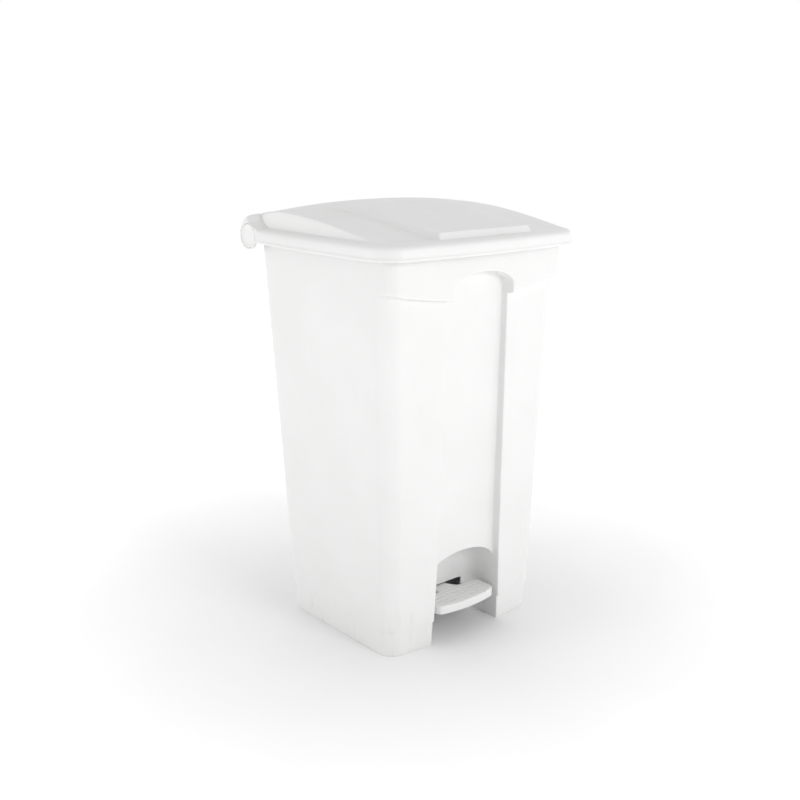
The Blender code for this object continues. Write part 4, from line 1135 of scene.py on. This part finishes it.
FLOOR_HALF = 6.0
GLOW_START = 0.20
GLOW_END = 1.00
GLOW = 0.36
CAMERA_PLACE = (-1.3696, -1.5419 + CENTRE_Y, 0.9823)
CAMERA_HEADING = 0.7142
CAMERA_DIP = 0.2591
CAMERA_ROLL = 0.0062
CAMERA_LENS = 48.86


def floor():
    """Pale floor with painted light: it glows more and more away from the bin, so that near the bin only
    the lamps light it.
    """
    mesh = box((-FLOOR_HALF, -FLOOR_HALF, -0.02), (FLOOR_HALF, FLOOR_HALF, 0.0))
    nodes = Nodes("floor_look")
    greys = ((0.3, (0.93, 0.93, 0.93)), (0.7, (0.96, 0.96, 0.96)))
    nodes.join("Base Color", nodes.colours(nodes.noise(3.0), greys))
    nodes.join("Roughness", 0.9)
    # Painted light: the floor's emission, none near the bin and rising outwards
    nodes.join("Emission Color", (1.0, 1.0, 1.0, 1.0))
    outward = nodes.add("ShaderNodeVectorMath", (("Vector", nodes.place),), operation="LENGTH")
    nodes.join("Emission Strength", nodes.range(outward.outputs["Value"], GLOW_START, GLOW_END, 0.0, GLOW))
    obj = piece("floor", mesh, nodes.material)


def area_light(name, location, aim, size, power):
    lamp = bpy.data.lights.new(name, "AREA")
    lamp.shape = "DISK"
    lamp.size = size
    lamp.energy = power
    obj = placed(name, lamp)
    obj.location = location
    obj.rotation_euler = (Vector(aim) - Vector(location)).to_track_quat("-Z", "Y").to_euler()


def world_light(zenith, dark_side, dark):
    """A white studio, dimmer overhead and on its unlit side."""
    world = bpy.data.worlds.new("studio")
    world.use_nodes = True
    tree = world.node_tree

    def add(kind, **settings):
        node = tree.nodes.new(kind)
        for key, value in settings.items():
            setattr(node, key, value)
        return node

    place = add("ShaderNodeTexCoord").outputs["Generated"]
    lean = add("ShaderNodeVectorMath", operation="DOT_PRODUCT")
    tree.links.new(place, lean.inputs[0])
    lean.inputs[1].default_value = dark_side
    split = add("ShaderNodeSeparateXYZ")
    tree.links.new(place, split.inputs[0])
    greys = []
    for value, stops in ((split.outputs["Z"], ((0.25, 1.0), (0.85, zenith))),
                         (lean.outputs["Value"], ((0.40, 1.0), (0.90, dark)))):
        ramp = add("ShaderNodeValToRGB")
        tree.links.new(value, ramp.inputs["Fac"])
        for element, (position, grey) in zip(ramp.color_ramp.elements, stops):
            element.position = position
            element.color = (grey, grey, grey, 1.0)
        greys.append(ramp.outputs["Color"])
    both = add("ShaderNodeVectorMath", operation="MULTIPLY")
    for socket, grey in zip(both.inputs, greys):
        tree.links.new(grey, socket)
    tree.links.new(both.outputs["Vector"], tree.nodes["Background"].inputs["Color"])
    bpy.context.scene.world = world


def photo_camera():
    """Camera from its place, a heading to the right of +Y, a dip below level and a small roll."""
    sine, cosine = math.sin(CAMERA_HEADING), math.cos(CAMERA_HEADING)
    forward = Vector((sine * math.cos(CAMERA_DIP), cosine * math.cos(CAMERA_DIP), -math.sin(CAMERA_DIP)))
    level = Vector((cosine, -sine, 0.0))
    upward = level.cross(forward)
    right = level * math.cos(CAMERA_ROLL) + upward * math.sin(CAMERA_ROLL)
    upward = upward * math.cos(CAMERA_ROLL) - level * math.sin(CAMERA_ROLL)
    camera = bpy.data.cameras.new("camera")
    camera.lens = CAMERA_LENS
    camera.sensor_width = 36.0
    obj = placed("camera", camera)
    turn = Matrix((right, upward, -forward)).transposed().to_4x4()
    obj.matrix_world = Matrix.Translation(CAMERA_PLACE) @ turn
    bpy.context.scene.camera = obj


floor()
world_light(zenith=0.68, dark_side=(-0.62, -0.77, 0.15), dark=0.45)
area_light("key", (0.15, -3.15, 1.50), aim=(0.0, 0.0, 0.10), size=1.1, power=25.0)
area_light("side", (-3.12, 0.84, 1.15), aim=(0.0, 0.0, 0.15), size=1.6, power=13.5)
photo_camera()
bpy.context.scene.view_settings.view_transform = "Standard"
